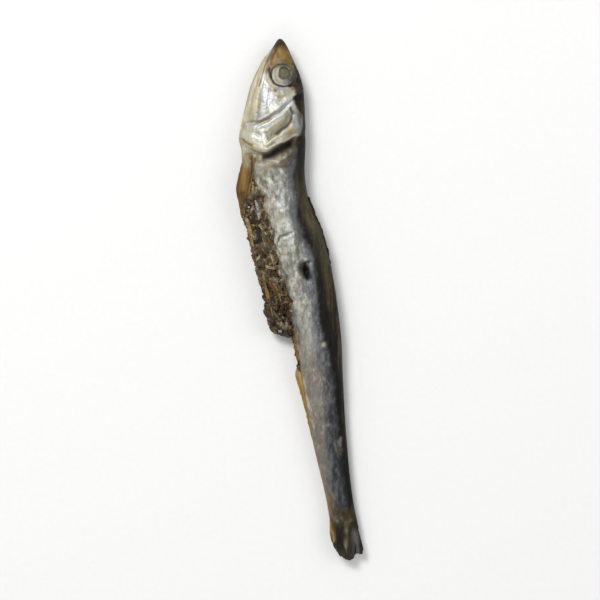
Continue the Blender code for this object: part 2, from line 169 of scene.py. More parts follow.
@dataclass(frozen=True)
class Noise:
    """Smooth repeatable noise from about -1 to 1.

    Attributes:
        seed: what tells one noise from another.
    """

    seed: int

    def _corner(self, x: Array, y: Array, z: Array) -> Array:
        """Repeatable value from -1 to 1 at whole-numbered places."""
        mixed = x * 374761393 + y * 668265263 + z * 1440662683 + self.seed * 1274126177
        mixed = (mixed ^ (mixed >> 13)) * 1103515245
        mixed = (mixed ^ (mixed >> 15)) * 12345701
        return ((mixed ^ (mixed >> 16)) & 0xFFFF) / 32767.5 - 1

    def at(self, places: Array, size: float, octaves: int = 1) -> Array:
        """Noise at places.

        Args:
            places: coordinates in millimetres, three along the last axis.
            size: width of the largest features.
            octaves: how many layers are summed, each half as wide and strong.

        Returns:
            One value per place.
        """
        total, strength, whole = 0.0, 1.0, 0.0
        for layer in range(octaves):
            scaled = places / size * 2**layer + 17.3 * layer
            low = np.floor(scaled)
            t = scaled - low
            t = t * t * (3 - 2 * t)
            x, y, z = np.moveaxis(low.astype(np.int64), -1, 0)
            u, v, w = np.moveaxis(t, -1, 0)
            found = 0.0
            for i, j, k in np.ndindex(2, 2, 2):
                share = (u if i else 1 - u) * (v if j else 1 - v) * (w if k else 1 - w)
                found = found + share * self._corner(x + i, y + j, z + k)
            total = total + strength * found
            whole += strength
            strength /= 2
        return total / whole * 1.5

    def lumps(self, places: Array, size: float) -> tuple[Array, Array]:
        """Round lumps that fill space, one in each cell of a jittered grid.

        Args:
            places: coordinates in millimetres, three along the last axis.
            size: width of a lump.

        Returns:
            Distance from the nearest lump's middle in widths, and a number from 0 to 1
            that the whole lump shares.
        """
        scaled = places / size
        low = np.floor(scaled)
        nearest = np.full(places.shape[:-1], np.inf)
        number = np.zeros_like(nearest)
        for step in np.ndindex(3, 3, 3):
            cell = low + step - 1
            x, y, z = np.moveaxis(cell.astype(np.int64), -1, 0)
            jitter = np.stack([self._corner(x + 71 * k, y, z) for k in (1, 2, 3)], axis=-1)
            gap = np.linalg.norm(cell + 0.5 + 0.42 * jitter - scaled, axis=-1)
            closer = gap < nearest
            nearest = np.where(closer, gap, nearest)
            number = np.where(closer, self._corner(x, y + 57, z) / 2 + 0.5, number)
        return nearest, number


@dataclass(frozen=True)
class Curve:
    """A smooth curve through knots, level beyond its ends.

    Attributes:
        knots: (place, value) pairs in order of place.
    """

    knots: Line

    @classmethod
    def through(cls, places: Sequence[float], values: Sequence[float]) -> "Curve":
        """The curve with these values at these places."""
        return cls(tuple(zip(places, values)))

    def at(self, where: Array) -> Array:
        """The curve's value at each place."""
        x, y = np.array(self.knots, float).T
        before = np.maximum(np.arange(len(x)) - 1, 0)
        after = np.minimum(np.arange(len(x)) + 1, len(x) - 1)
        slope = (y[after] - y[before]) / (x[after] - x[before])
        where = np.clip(where, x[0], x[-1])
        i = np.clip(np.searchsorted(x, where, side="right") - 1, 0, len(x) - 2)
        span = x[i + 1] - x[i]
        t = (where - x[i]) / span
        start = (1 + 2 * t) * (1 - t) ** 2 * y[i] + t * (1 - t) ** 2 * span * slope[i]
        end = t * t * (3 - 2 * t) * y[i + 1] + t * t * (t - 1) * span * slope[i + 1]
        return start + end


class Section(NamedTuple):
    """A cross-section.

    Attributes:
        run: its run.
        belly: its belly edge, across.
        back: its back edge, across.
        thick: its thickness.
        height: height of its middle.
    """

    run: Array
    belly: Array
    back: Array
    thick: Array
    height: Array


@dataclass(frozen=True)
class Sections:
    """A form given by a few sections along the fish.

    Attributes:
        rows: run, belly, back, thick and height of each section.
    """

    rows: tuple[tuple[float, ...], ...]

    @property
    def ends(self) -> Pair:
        """Runs of the first and the last section."""
        return self.rows[0][0], self.rows[-1][0]

    def at(self, run: Array) -> Section:
        """The sections at each run, smoothly between the given ones."""
        runs, *fields = zip(*self.rows)
        return Section(run, *(Curve.through(runs, values).at(run) for values in fields))


def stack(across: Array, run: Array, height: Array) -> Array:
    """Places in millimetres as x, y and z along the last axis."""
    across, run, height = np.broadcast_arrays(across, run, height)
    return np.stack((across, SNOUT_Y - run, height), axis=-1)


def unit(arrows: Array) -> Array:
    """The arrows at length 1."""
    return arrows / np.maximum(np.linalg.norm(arrows, axis=-1, keepdims=True), 1e-9)


def lattice(down: tuple[float, float, int], along: tuple[float, float, int]) -> list[Array]:
    """Even steps down the rows and even steps along the columns, as two grids."""
    return np.meshgrid(np.linspace(*down), np.linspace(*along), indexing="ij")


def close(places: Array, ends: Sequence[int] = ()) -> None:
    """Gathers each of these end rows to a point and joins the last column to the first."""
    for end in ends:
        places[end] = places[end].mean(axis=0)
    places[:, -1] = places[:, 0]


def points(*numbers: float) -> Line:
    """A line's points from its numbers, two to a point."""
    return tuple(zip(numbers[::2], numbers[1::2]))


def far(across: Array, run: Array, line: Line) -> Array:
    """Distance of each place from a line of straight stretches, seen from above.

    Args:
        across: places along X.
        run: places along the fish.
        line: (across, run) points.

    Returns:
        One distance per place.
    """
    nearest = np.full(np.shape(across), np.inf)
    for (a0, r0), (a1, r1) in zip(line, line[1:]):
        da, dr = a1 - a0, r1 - r0
        t = np.clip(((across - a0) * da + (run - r0) * dr) / (da * da + dr * dr), 0, 1)
        nearest = np.minimum(nearest, np.hypot(across - a0 - t * da, run - r0 - t * dr))
    return nearest


def inside(across: Array, run: Array, place: Pair,
           radii: Pair, turn: float = 0.0) -> Array:
    """Distance from the middle of an oval in units of its radii, 1 on its rim.

    Args:
        across: places along X.
        run: places along the fish.
        place: (across, run) of the middle.
        radii: radii across and along before the turn.
        turn: how far the oval is turned, in degrees.

    Returns:
        One ratio per place.
    """
    cos, sin = math.cos(math.radians(turn)), math.sin(math.radians(turn))
    da, dr = across - place[0], run - place[1]
    return np.hypot((da * cos + dr * sin) / radii[0], (dr * cos - da * sin) / radii[1])


class Sock:
    """A shader socket. Arithmetic on it adds Math nodes to its graph.

    Attributes:
        graph: the graph that the socket belongs to.
        out: the output socket.
    """

    def __init__(self, graph: "Graph", out: bpy.types.NodeSocket) -> None:
        """Holds the graph and the output socket."""
        self.graph = graph
        self.out = out

    def _math(self, operation: str, *values: "Sock | float") -> "Sock":
        """A Math node's result on the values."""
        inputs = dict(enumerate(values))
        return self.graph.add("ShaderNodeMath", {"operation": operation}, inputs)

    def __add__(self, other: "Sock | float") -> "Sock":
        """The sum."""
        return self._math("ADD", self, other)

    __radd__ = __add__

    def __sub__(self, other: "Sock | float") -> "Sock":
        """The difference."""
        return self._math("SUBTRACT", self, other)

    def __rsub__(self, other: float) -> "Sock":
        """The difference from a number."""
        return self._math("SUBTRACT", other, self)

    def __mul__(self, other: "Sock | float") -> "Sock":
        """The product."""
        return self._math("MULTIPLY", self, other)

    __rmul__ = __mul__

    def step(self, low: float, high: float) -> "Sock":
        """Smooth step from 0 at low to 1 at high."""
        inputs = {"Value": self, "From Min": low, "From Max": high}
        settings = {"interpolation_type": "SMOOTHSTEP"}
        return self.graph.add("ShaderNodeMapRange", settings, inputs)

    def clamp(self, low: float, high: float) -> "Sock":
        """The value kept from low to high."""
        return self.graph.add("ShaderNodeClamp", {}, {"Value": self, "Min": low, "Max": high})


class Graph:
    """The node graph of one material, around its Principled shader.

    Attributes:
        material: the material.
        tree: its node tree.
        shader: its shader.
        place: the Object coordinates.
    """

    def __init__(self, name: str) -> None:
        """Makes the material and clears its graph down to the shader."""
        self.material = bpy.data.materials.new(name)
        self.material.use_nodes = True
        self.tree = self.material.node_tree
        self.shader = self.tree.nodes["Principled BSDF"]
        self.place = self.add("ShaderNodeTexCoord", {}, {}, "Object")

    def add(self, kind: str, settings: dict, inputs: dict, output: "str | int" = 0) -> Sock:
        """Adds a node.

        Args:
            kind: the node's type.
            settings: its own properties, set first.
            inputs: values or links by the socket's name, identifier or number.
            output: name or number of the output to return.

        Returns:
            That output.
        """
        node = self.tree.nodes.new(kind)
        for name, value in settings.items():
            setattr(node, name, value)
        for key, value in inputs.items():
            self.link(self._socket(node.inputs, key), value)
        return Sock(self, self._socket(node.outputs, output))

    @staticmethod
    def _socket(sockets: Sequence, key: "str | int") -> bpy.types.NodeSocket:
        """The socket with this number, identifier or name."""
        if isinstance(key, int):
            return sockets[key]
        for socket in sockets:
            if socket.identifier == key:
                return socket
        return sockets[key]

    def link(self, socket: bpy.types.NodeSocket, value: "Sock | float | Sequence") -> None:
        """Links an output to the input socket, or sets its value."""
        if isinstance(value, Sock):
            self.tree.links.new(value.out, socket)
        else:
            socket.default_value = value

    def tint(self) -> Sock:
        """The piece's own colours."""
        return self.attribute("tint", "Color")

    def attribute(self, name: str, output: str = "Fac") -> Sock:
        """One of the piece's own attributes."""
        return self.add("ShaderNodeAttribute", {"attribute_name": name}, {}, output)

    def noise(self, size: float, detail: float = 3.0, stretch: Colour = (1.0, 1.0, 1.0),
              rough: float = 0.55) -> Sock:
        """Noise from 0 to 1.

        Args:
            size: width of its features in millimetres.
            detail: how many finer layers it has.
            stretch: how much longer the features are along each axis.
            rough: strength of the finer layers.

        Returns:
            The noise.
        """
        inputs = {
            "Vector": self.squeezed(stretch),
            "Scale": 1 / (size * MM),
            "Detail": detail,
            "Roughness": rough,
        }
        return self.add("ShaderNodeTexNoise", {}, inputs, "Fac")

    def squeezed(self, stretch: Colour) -> Sock:
        """Object coordinates on which a pattern comes out stretched."""
        scale = tuple(1 / part for part in stretch)
        inputs = {"Vector": self.place, "Scale": scale}
        return self.add("ShaderNodeMapping", {}, inputs, "Vector")

    def cells(self, size: float, stretch: Colour = (1.0, 1.0, 1.0)) -> Sock:
        """Distance within cells about as wide as the size in millimetres."""
        inputs = {"Vector": self.squeezed(stretch), "Scale": 1 / (size * MM)}
        return self.add("ShaderNodeTexVoronoi", {"feature": "F1"}, inputs, "Distance")

    def mix(self, share: "Sock | float", low: "Sock | Tone", high: "Sock | Tone") -> Sock:
        """One colour where the share is 0 and the other where it is 1.

        Args:
            share: how much of the second colour there is.
            low: the first colour.
            high: the second colour.

        Returns:
            The mixed colour.
        """
        ends = [
            (*end.linear(), 1.0) if isinstance(end, Tone) else end for end in (low, high)
        ]
        inputs = {"Factor_Float": share, "A_Color": ends[0], "B_Color": ends[1]}
        return self.add("ShaderNodeMix", {"data_type": "RGBA"}, inputs, "Result_Color")

    def scaled(self, colour: Sock, factor: Sock) -> Sock:
        """The colour made lighter or darker by the factor."""
        inputs = {0: colour, "Scale": factor}
        return self.add("ShaderNodeVectorMath", {"operation": "SCALE"}, inputs)

    def bump(self, height: Sock, depth: float) -> Sock:
        """A normal for the height, whose full range is as deep as the depth in millimetres."""
        inputs = {"Height": height, "Distance": depth * MM, "Strength": 1.0}
        return self.add("ShaderNodeBump", {}, inputs)

    def surface(self, **values: "Sock | float | Sequence") -> bpy.types.Material:
        """Sets the shader's sockets and returns the material.

        Args:
            **values: values or links by the socket's name, with _ for a space.

        Returns:
            The finished material.
        """
        for name, value in values.items():
            self.link(self.shader.inputs[name.replace("_", " ")], value)
        return self.material


@dataclass(frozen=True)
class SkinFinish:
    """Dried silver skin, coloured by the piece's tint, shine, grit and stain attributes.

    Attributes:
        name: the material's name.
        cloud: width of the broad mottling in millimetres.
        dapple: width of the dapples.
        grain: width of the fine grain.
        scales: width of the scale pockets.
        relief: depth of the fine relief.
    """

    name: str = "dried_skin"
    cloud: float = 2.1
    dapple: float = 0.85
    grain: float = 0.34
    scales: float = 0.62
    relief: float = 0.055

    def material(self) -> bpy.types.Material:
        """The finished material."""
        g = Graph(self.name)
        tint = g.tint()
        shine, grit, stain = (g.attribute(name) for name in ("shine", "grit", "stain"))
        cloud = g.noise(self.cloud, 4.0, (1.0, 1.5, 1.0))
        dapple = g.noise(self.dapple, 3.0, (1.0, 2.2, 1.0), 0.6)
        grain = g.noise(self.grain, 3.0, (1.0, 2.0, 1.0), 0.7)
        fibre = g.noise(0.28, 2.0, (1.0, 7.0, 1.0), 0.6)
        cells = g.cells(self.scales, (1.0, 1.3, 1.0))
        light = 0.66 + 0.6 * (cloud - 0.3) + (fibre - 0.5) * 0.4
        light = light + (dapple - 0.5) * (0.3 + grit * 0.75)
        light = light + (grain - 0.5) * (0.3 + grit * 0.9)
        colour = g.scaled(tint, light.clamp(0.25, 1.6))
        # Pearl flecks where the grit is high: the skin's own silver specks with painted glints.
        flecks = (grain * 0.5 + dapple * 0.5).step(0.53, 0.67) * grit
        colour = g.mix(flecks * 0.4, colour, PEARL)
        pits = (grain * 0.5 + dapple * 0.5).step(0.48, 0.36) * grit
        colour = g.mix(pits * 0.45, colour, OLIVE)
        rust = g.noise(1.3, 4.0, (1.0, 1.6, 1.0), 0.65).step(0.5, 0.62) * stain
        colour = g.mix(rust * 0.75, colour, GOLD)
        rough = 0.54 - 0.14 * shine + 0.22 * (grain - 0.5) + 0.12 * (cloud - 0.5)
        height = (cells * 0.45 + grain * (0.5 + grit * 0.6) + fibre * 0.35) * (1 - shine * 0.6)
        return g.surface(
            Base_Color=colour,
            Roughness=rough.clamp(0.16, 0.9),
            Metallic=(0.3 * shine).clamp(0.0, 0.6),
            Normal=g.bump(height, self.relief),
            Specular_IOR_Level=0.11,
        )


@dataclass(frozen=True)
class HornFinish:
    """Amber membrane with fine rays, coloured by the piece's tint attribute.

    Attributes:
        name: the material's name.
        gloss: roughness of its surface.
        glow: how much light passes through it.
    """

    name: str
    gloss: float = 0.42
    glow: float = 0.18

    def material(self) -> bpy.types.Material:
        """The finished material."""
        g = Graph(self.name)
        tint = g.tint()
        rays = g.noise(0.2, 3.0, (1.0, 11.0, 2.0), 0.7)
        cloud = g.noise(1.1, 4.0, (1.0, 2.6, 1.0))
        light = (0.55 + 0.6 * cloud + 0.4 * (rays - 0.5)).clamp(0.2, 1.6)
        colour = g.mix(cloud.step(0.55, 0.7) * 0.35, g.scaled(tint, light), UMBER)
        return g.surface(
            Base_Color=colour,
            Roughness=(self.gloss + 0.35 * (cloud - 0.4)).clamp(0.15, 0.9),
            Normal=g.bump(rays * 0.8 + cloud * 0.4, 0.07),
            Subsurface_Weight=self.glow,
            Subsurface_Radius=(0.9 * MM, 0.5 * MM, 0.25 * MM),
            Subsurface_Scale=1.0,
            Specular_IOR_Level=0.22,
        )


@dataclass(frozen=True)
class RoeFinish:
    """Dried gut and roe: dark, crumbly and oily, coloured by the tint attribute.

    Attributes:
        name: the material's name.
        crumb: width of the crumbs in millimetres.
        speck: how many bright specks there are, from 0 to 1.
    """

    name: str
    crumb: float = 0.42
    speck: float = 0.5

    def material(self) -> bpy.types.Material:
        """The finished material."""
        g = Graph(self.name)
        tint = g.tint()
        crumbs = g.noise(self.crumb, 4.0, rough=0.7)
        cloud = g.noise(1.9, 3.0)
        cells = g.cells(self.crumb * 1.3)
        colour = g.scaled(tint, (0.35 + 0.9 * crumbs + 0.4 * (cloud - 0.5)).clamp(0.1, 1.6))
        colour = g.mix((1 - crumbs).step(0.52, 0.66) * 0.75, colour, UMBER)
        specks = (crumbs * 0.8 + cloud * 0.25).step(0.6, 0.7) * self.speck
        colour = g.mix(specks, colour, CREAM)
        return g.surface(
            Base_Color=colour,
            Roughness=(0.5 + 0.4 * (cloud - 0.5) - 0.2 * specks).clamp(0.2, 0.9),
            Normal=g.bump(crumbs + cells * 0.6, 0.16),
            Specular_IOR_Level=0.26,
        )


@dataclass(frozen=True)
class EyeFinish:
    """Clouded dry eye: rings of iris round a dull lens, from the tint attribute.

    Attributes:
        name: the material's name.
    """

    name: str = "dried_eye"

    def material(self) -> bpy.types.Material:
        """The finished material."""
        g = Graph(self.name)
        tint = g.tint()
        film = g.noise(0.55, 4.0, rough=0.6)
        wrinkle = g.noise(0.22, 3.0, (1.0, 1.6, 1.0), 0.65)
        light = (0.66 + 0.45 * film + 0.4 * (wrinkle - 0.5)).clamp(0.3, 1.4)
        colour = g.mix(film.step(0.56, 0.7) * 0.16, g.scaled(tint, light), BEIGE)
        return g.surface(
            Base_Color=colour,
            Roughness=(0.24 + 0.3 * film).clamp(0.12, 0.7),
            Metallic=(0.15 * film).clamp(0.0, 0.5),
            Normal=g.bump(wrinkle + film * 0.6, 0.035),
            Coat_Weight=0.12,
            Specular_IOR_Level=0.3,
        )


@dataclass(frozen=True)
class FloorFinish:
    """Plain pale tabletop with a barely seen tooth.

    Attributes:
        name: the material's name.
        tooth: width of the tooth in millimetres.
    """

    name: str = "pale_floor"
    tooth: float = 0.9

    def material(self) -> bpy.types.Material:
        """The finished material."""
        g = Graph(self.name)
        tooth = g.noise(self.tooth, 3.0)
        low, high = (0.8, 0.8, 0.795, 1.0), (0.84, 0.84, 0.835, 1.0)
        return g.surface(
            Base_Color=g.mix(tooth, low, high), Roughness=0.85, Specular_IOR_Level=0.15
        )


Finish = SkinFinish | HornFinish | RoeFinish | EyeFinish


class Blank:
    """A grid mesh, added as a primitive, that is wrapped onto a form.

    Attributes:
        obj: the piece's object.
        row: the grid row of every vertex.
        column: the grid column of every vertex.
    """

    def __init__(self, name: str, rows: int, columns: int) -> None:
        """Adds the flat grid with this many rows and columns of vertices."""
        deselect()
        bpy.ops.mesh.primitive_grid_add(
            x_subdivisions=columns - 1, y_subdivisions=rows - 1, size=1.0
        )
        self.obj = bpy.context.object
        self.obj.name = self.obj.data.name = name
        flat = read_places(self.obj)
        self.column = np.rint((flat[:, 0] + 0.5) * (columns - 1)).astype(int)
        self.row = np.rint((flat[:, 1] + 0.5) * (rows - 1)).astype(int)

    def wrap(self, places: Array) -> None:
        """Moves every vertex to its place, given in millimetres by row and column."""
        moved = places[self.row, self.column] * MM
        self.obj.data.vertices.foreach_set("co", moved.astype(np.float32).ravel())
        self.obj.data.update()

    def paint(self, name: str, values: Array) -> None:
        """Stores a value or a colour of every vertex, given by row and column."""
        add_attribute(self.obj, name, values[self.row, self.column])

    def weld(self) -> None:
        """Merges the seam and the poles, and turns the faces outwards."""
        edit_all(self.obj)
        bpy.ops.mesh.remove_doubles(threshold=WELD * MM)
        bpy.ops.mesh.normals_make_consistent(inside=False)
        bpy.ops.object.mode_set(mode="OBJECT")


def deselect() -> None:
    """Leaves every object deselected, in Object Mode."""
    if bpy.context.mode != "OBJECT":
        bpy.ops.object.mode_set(mode="OBJECT")
    bpy.ops.object.select_all(action="DESELECT")


def edit_all(obj: bpy.types.Object) -> None:
    """Opens one object in Edit Mode with all of its mesh selected."""
    deselect()
    obj.select_set(True)
    bpy.context.view_layer.objects.active = obj
    bpy.ops.object.mode_set(mode="EDIT")
    bpy.ops.mesh.select_all(action="SELECT")


def read_places(obj: bpy.types.Object) -> Array:
    """The places of the object's vertices, in its own units."""
    flat = np.empty(len(obj.data.vertices) * 3, np.float32)
    obj.data.vertices.foreach_get("co", flat)
    return flat.reshape(-1, 3).astype(float)


def add_attribute(obj: bpy.types.Object, name: str, values: Array) -> None:
    """Stores one number or one colour for each vertex of the object.

    Args:
        obj: the piece.
        name: the attribute's name.
        values: one number or three for each vertex.
    """
    if values.ndim == 1:
        made = obj.data.attributes.new(name, "FLOAT", "POINT")
        made.data.foreach_set("value", values.astype(np.float32))
        return
    made = obj.data.attributes.new(name, "FLOAT_COLOR", "POINT")
    full = np.concatenate((values, np.ones((len(values), 1))), axis=1)
    made.data.foreach_set("color", full.astype(np.float32).ravel())


def finish_piece(obj: bpy.types.Object, finish: Finish) -> None:
    """Dresses a piece, ties it to the fish's body and reports it.

    Args:
        obj: the piece, with its place in its mesh.
        finish: what it is dressed with.
    """
    deselect()
    obj.select_set(True)
    bpy.context.view_layer.objects.active = obj
    bpy.ops.object.transform_apply(location=True, rotation=True, scale=True)
    bpy.ops.object.shade_smooth()
    obj.data.materials.clear()
    obj.data.materials.append(finish.material())
    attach(obj, BODY)
    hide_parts(NODE)
    LOG.info("%s: %d faces", obj.name, len(obj.data.polygons))


def thicken(obj: bpy.types.Object, thickness: float) -> None:
    """Gives a sheet its thickness in millimetres and closes its rim."""
    wall = obj.modifiers.new("wall", "SOLIDIFY")
    wall.thickness = thickness * MM
    wall.offset = 0.0
    wall.use_even_offset = False
    bpy.context.view_layer.objects.active = obj
    bpy.ops.object.modifier_apply(modifier=wall.name)


def make_piece(name: str, places: Array, paints: dict[str, Array], finish: Finish,
               thickness: float = 0.0) -> None:
    """Makes one finished piece from a grid of places.

    Args:
        name: the piece's name.
        places: x, y and z in millimetres, by row and column.
        paints: values or colours by row and column, under the attribute's name.
        finish: its finish.
        thickness: how thick an open sheet becomes, or 0 for a closed form.
    """
    blank = Blank(name, *places.shape[:2])
    blank.wrap(places)
    for attribute, values in paints.items():
        blank.paint(attribute, values)
    if thickness:
        thicken(blank.obj, thickness)
    blank.weld()
    finish_piece(blank.obj, finish)


def strewn(name: str, shape: bpy.types.Object, copies: Sequence[Array],
           tints: Sequence[Array]) -> bpy.types.Object:
    """Joins copies of one small shape, each bent to its own places, into one piece.

    Args:
        name: the piece's name.
        shape: the shape that is copied, which is removed at the end.
        copies: places of each copy's vertices in millimetres.
        tints: colours of each copy's vertices.

    Returns:
        The new piece.
    """
    bm = bmesh.new()
    for places in copies:
        first = len(bm.verts)
        bm.from_mesh(shape.data)
        bm.verts.ensure_lookup_table()
        for vert, place in zip(bm.verts[first:], places * MM):
            vert.co = place
    mesh = bpy.data.meshes.new(name)
    bm.to_mesh(mesh)
    bm.free()
    bpy.data.objects.remove(shape, do_unlink=True)
    piece = bpy.data.objects.new(name, mesh)
    bpy.context.scene.collection.objects.link(piece)
    add_attribute(piece, "tint", np.clip(np.concatenate(tints), 0.003, 0.9))
    return piece


def plain(tone: Tone, shape: tuple[int, ...]) -> Array:
    """One tone at every place of a grid."""
    return np.broadcast_to(tone.linear(), (*shape, 3))


class Coat:
    """Colours of a piece, laid on one over another.

    Attributes:
        tint: linear red, green and blue of every place.
    """

    def __init__(self, base: Array) -> None:
        """Starts with the colours underneath."""
        self.tint = base

    def lay(self, tone: Tone, share: Array) -> None:
        """Lays a tone over the rest by the share, from 0 to 1."""
        self.tint = self.tint + (tone.linear() - self.tint) * share[..., None]

    def layer(self, area: Array, *layers: tuple) -> None:
        """Lays tones over an area, evenly or only where a noise is high.

        Args:
            area: how much of each place belongs to the area, from 0 to 1.
            *layers: tone and cover, then, for a noise, the noise, where it begins to show
                and how softly.
        """
        for tone, cover, *noise in layers:
            share = cover * area
            self.lay(tone, share * over(*noise) if noise else share)


@dataclass(frozen=True)
class Mark:
    """A line or an oval on the skin, which tints it and may raise or sink it.

    Attributes:
        line: (across, run) points. One point makes an oval.
        wide: half width of a line, or the two radii of an oval.
        tone: its colour.
        cover: how much of its colour it lays on, from 0 to 1.
        lift: height of its middle above the skin, below 0 for a crease.
        shine: what it adds to the skin's shine.
        turn: how far an oval is turned, in degrees.
        crisp: how sharp its edge is: 1 is a bell and more is flatter.
    """

    line: Line
    wide: float | Pair
    tone: Tone
    cover: float = 0.7
    lift: float = 0.0
    shine: float = 0.0
    turn: float = 0.0
    crisp: float = 1.0

    def share(self, across: Array, run: Array) -> Array:
        """How strongly the mark shows at each place, from 0 to 1."""
        if len(self.line) == 1:
            ratio = inside(across, run, self.line[0], self.wide, self.turn)
        else:
            ratio = far(across, run, self.line) / self.wide
        return np.exp(-(ratio ** (2 * self.crisp)))


def marks(*rows: tuple) -> tuple[Mark, ...]:
    """Marks from the rows of a table.

    Args:
        *rows: the line's numbers, then the width, the tone and the rest of a mark's
            values in order.

    Returns:
        A mark for each row.
    """
    return tuple(Mark(points(*line), *values) for line, *values in rows)


@dataclass(frozen=True)
class TrunkForm:
    """The bare form of the head and body, with no relief.

    Attributes:
        sections: its cross-sections from the snout to the tail.
        keel: how sharp the belly's edge is where the skin is whole.
        torn_wall: how square the belly's edge is where the skin is torn.
        roundness: how sharp the back's edge is.
        torn: runs of the front and rear end of the tear.
    """

    sections: Sections = Sections((
        (0, -3.6, -3.2, 0.4, 3.1),
        (0.5, -4.05, -2.7, 1.3, 3.1),
        (1.4, -4.6, -2.15, 2.4, 3.1),
        (2.4, -5.4, -1.7, 3.1, 3.05),
        (3.4, -6.2, -1.25, 3.7, 3),
        (6.6, -7.9, 0.1, 5, 2.9),
        (9.9, -8.95, 0.7, 5.7, 2.9),
        (17, -10.4, 0.9, 6.2, 3.05),
        (19, -10, 0.9, 6.1, 3.05),
        (22.5, -9.6, 0.8, 6, 3.05),
        (24.6, -7.8, 0.95, 6, 3.05),
        (28.3, -6.5, 1.75, 6.2, 3),
        (33.6, -4.9, 3.9, 6.2, 2.95),
        (40.1, -3.3, 5.55, 6, 2.8),
        (51, -0.9, 7.05, 5.4, 2.5),
        (58, 0.2, 7.35, 4.8, 2.25),
        (68.7, 2.15, 8, 3.8, 1.95),
        (78.3, 4.4, 9, 2.7, 1.95),
        (84, 5.4, 10.1, 1.2, 2.1),
    ))
    keel: float = 1.05
    torn_wall: float = 0.62
    roundness: float = 0.9
    torn: Pair = (23, 53)

    def swell(self, run: Array) -> Array:
        """Exponent that shapes the belly's edge at each run."""
        front, rear = self.torn
        share = ease((run - front) / 2.5) * ease((rear - run) / 3)
        return self.keel + (self.torn_wall - self.keel) * share

    def at(self, run: Array, turn: Array) -> Array:
        """Places on the form.

        Args:
            run: places along the fish.
            turn: angle from the back's edge over the upper flank, in radians.

        Returns:
            x, y and z in millimetres along the last axis.
        """
        cut = self.sections.at(run)
        cos, sin = np.cos(turn), np.sin(turn)
        share = power(cos, SPACING)
        rise = power(sin, np.where(cos > 0, self.roundness, self.swell(run)))
        across = cut.belly + (cut.back - cut.belly) / 2 * (1 + share)
        return stack(across, run, cut.height + cut.thick / 2 * rise)

    def top(self, across: Array, run: Array, side: Side) -> Array:
        """Height of a flank's bare skin at places seen from above."""
        cut = self.sections.at(run)
        share = np.clip(2 * (across - cut.belly) / (cut.back - cut.belly) - 1, -0.99, 0.99)
        turn = side * np.arccos(power(share, 1 / SPACING))
        return self.at(run, turn)[..., 2]


@dataclass(frozen=True)
class Features:
    """Lines and spots of the fish that its form and its colours share.

    Attributes:
        gill_edge: rear edge of the gill cover, as (across, run).
        cheek_edge: the fold between the cheek and the gill cover.
        jaw_border: where the jaw ends and the cheek begins, as (run, across).
        blue_line: where the pale flank turns blue-grey, as (run, across).
        black_line: where the blue-grey turns to the black back, as (run, across).
        mouth: the mouth line, as (across, run).
        nape: where the dark top of the head begins, as (run, across).
        eye: middle of the eye's socket.
        socket: its radii.
        socket_turn: how far it is turned, in degrees.
        hole: middle of the torn hole.
    """

    gill_edge: Line = points(
        -10.5, 17, -8.2, 18.8, -5.8, 19.6, -3.4, 18.3, -1.2, 17.1, 0.2, 16.4, 1, 15.2,
    )
    cheek_edge: Line = points(-10, 14.9, -7.4, 14.6, -5.2, 13.4, -3, 12.1, -1.4, 10.5, 0.6, 8.4)
    jaw_border: Line = points(
        1.2, -4.2, 2.7, -4.8, 4.2, -5.4, 6.2, -6, 8, -6.5, 10, -6.8, 12.5, -7.2, 14.5, -7.9,
    )
    blue_line: Line = points(
        16, -1.6, 21, -2.4, 24.3, -2.5, 26.7, -2.2, 29.9, -1.8, 32.8, -1, 35.6, 0.1, 38.5, 0.9,
        43.5, 1.4, 50, 2.3, 56.4, 3.8, 61.3, 4.5, 67, 4.6, 73.5, 5.2, 80, 5.6, 84, 5.9,
    )
    black_line: Line = points(
        5, -1.3, 6.5, -0.7, 8, -1.1, 10.5, -1.1, 12, -0.6, 13.4, 0.3, 15.6, 0, 17.4, -0.6,
        19, -0.8, 21.9, -1.2, 25.1, -1.15, 29.3, -0.65, 31.5, -0.35, 34, 0.5, 36.4, 1.6, 38.8, 2.2,
        42.8, 2.8, 46.8, 3.2, 50, 3.8, 53.2, 4.6, 56.4, 5.3, 61.3, 6, 67, 6.6, 73.5, 7.1,
        79.9, 7.8,
    )
    mouth: Line = points(-4.3, 0.9, -5.3, 3, -6.3, 5.4, -7, 8.2)
    nape: Line = points(2, -1.7, 5, -0.45, 8, 0.35, 12, 0.6, 17, 0.3)
    eye: Pair = (-2.85, 6.5)
    socket: Pair = (2.4, 2.1)
    socket_turn: float = 20
    hole: Pair = (0.95, 39.75)

    def behind_gill(self, across: Array, run: Array) -> Array:
        """How far back from the gill cover's edge each place is."""
        return run - Curve(self.gill_edge).at(across)

    def behind_cheek(self, across: Array, run: Array) -> Array:
        """How far back from the cheek's fold each place is."""
        return run - Curve(self.cheek_edge).at(across)

    def in_socket(self, across: Array, run: Array) -> Array:
        """Distance from the eye's middle, 1 on the socket's rim."""
        return inside(across, run, self.eye, self.socket, self.socket_turn)

    def facing(self, across: Array, run: Array, degrees: float) -> Array:
        """1 on the side of the eye that this angle points to and -1 on the other."""
        a, r = self.eye
        return np.cos(np.arctan2(run - r, across - a) - math.radians(degrees))


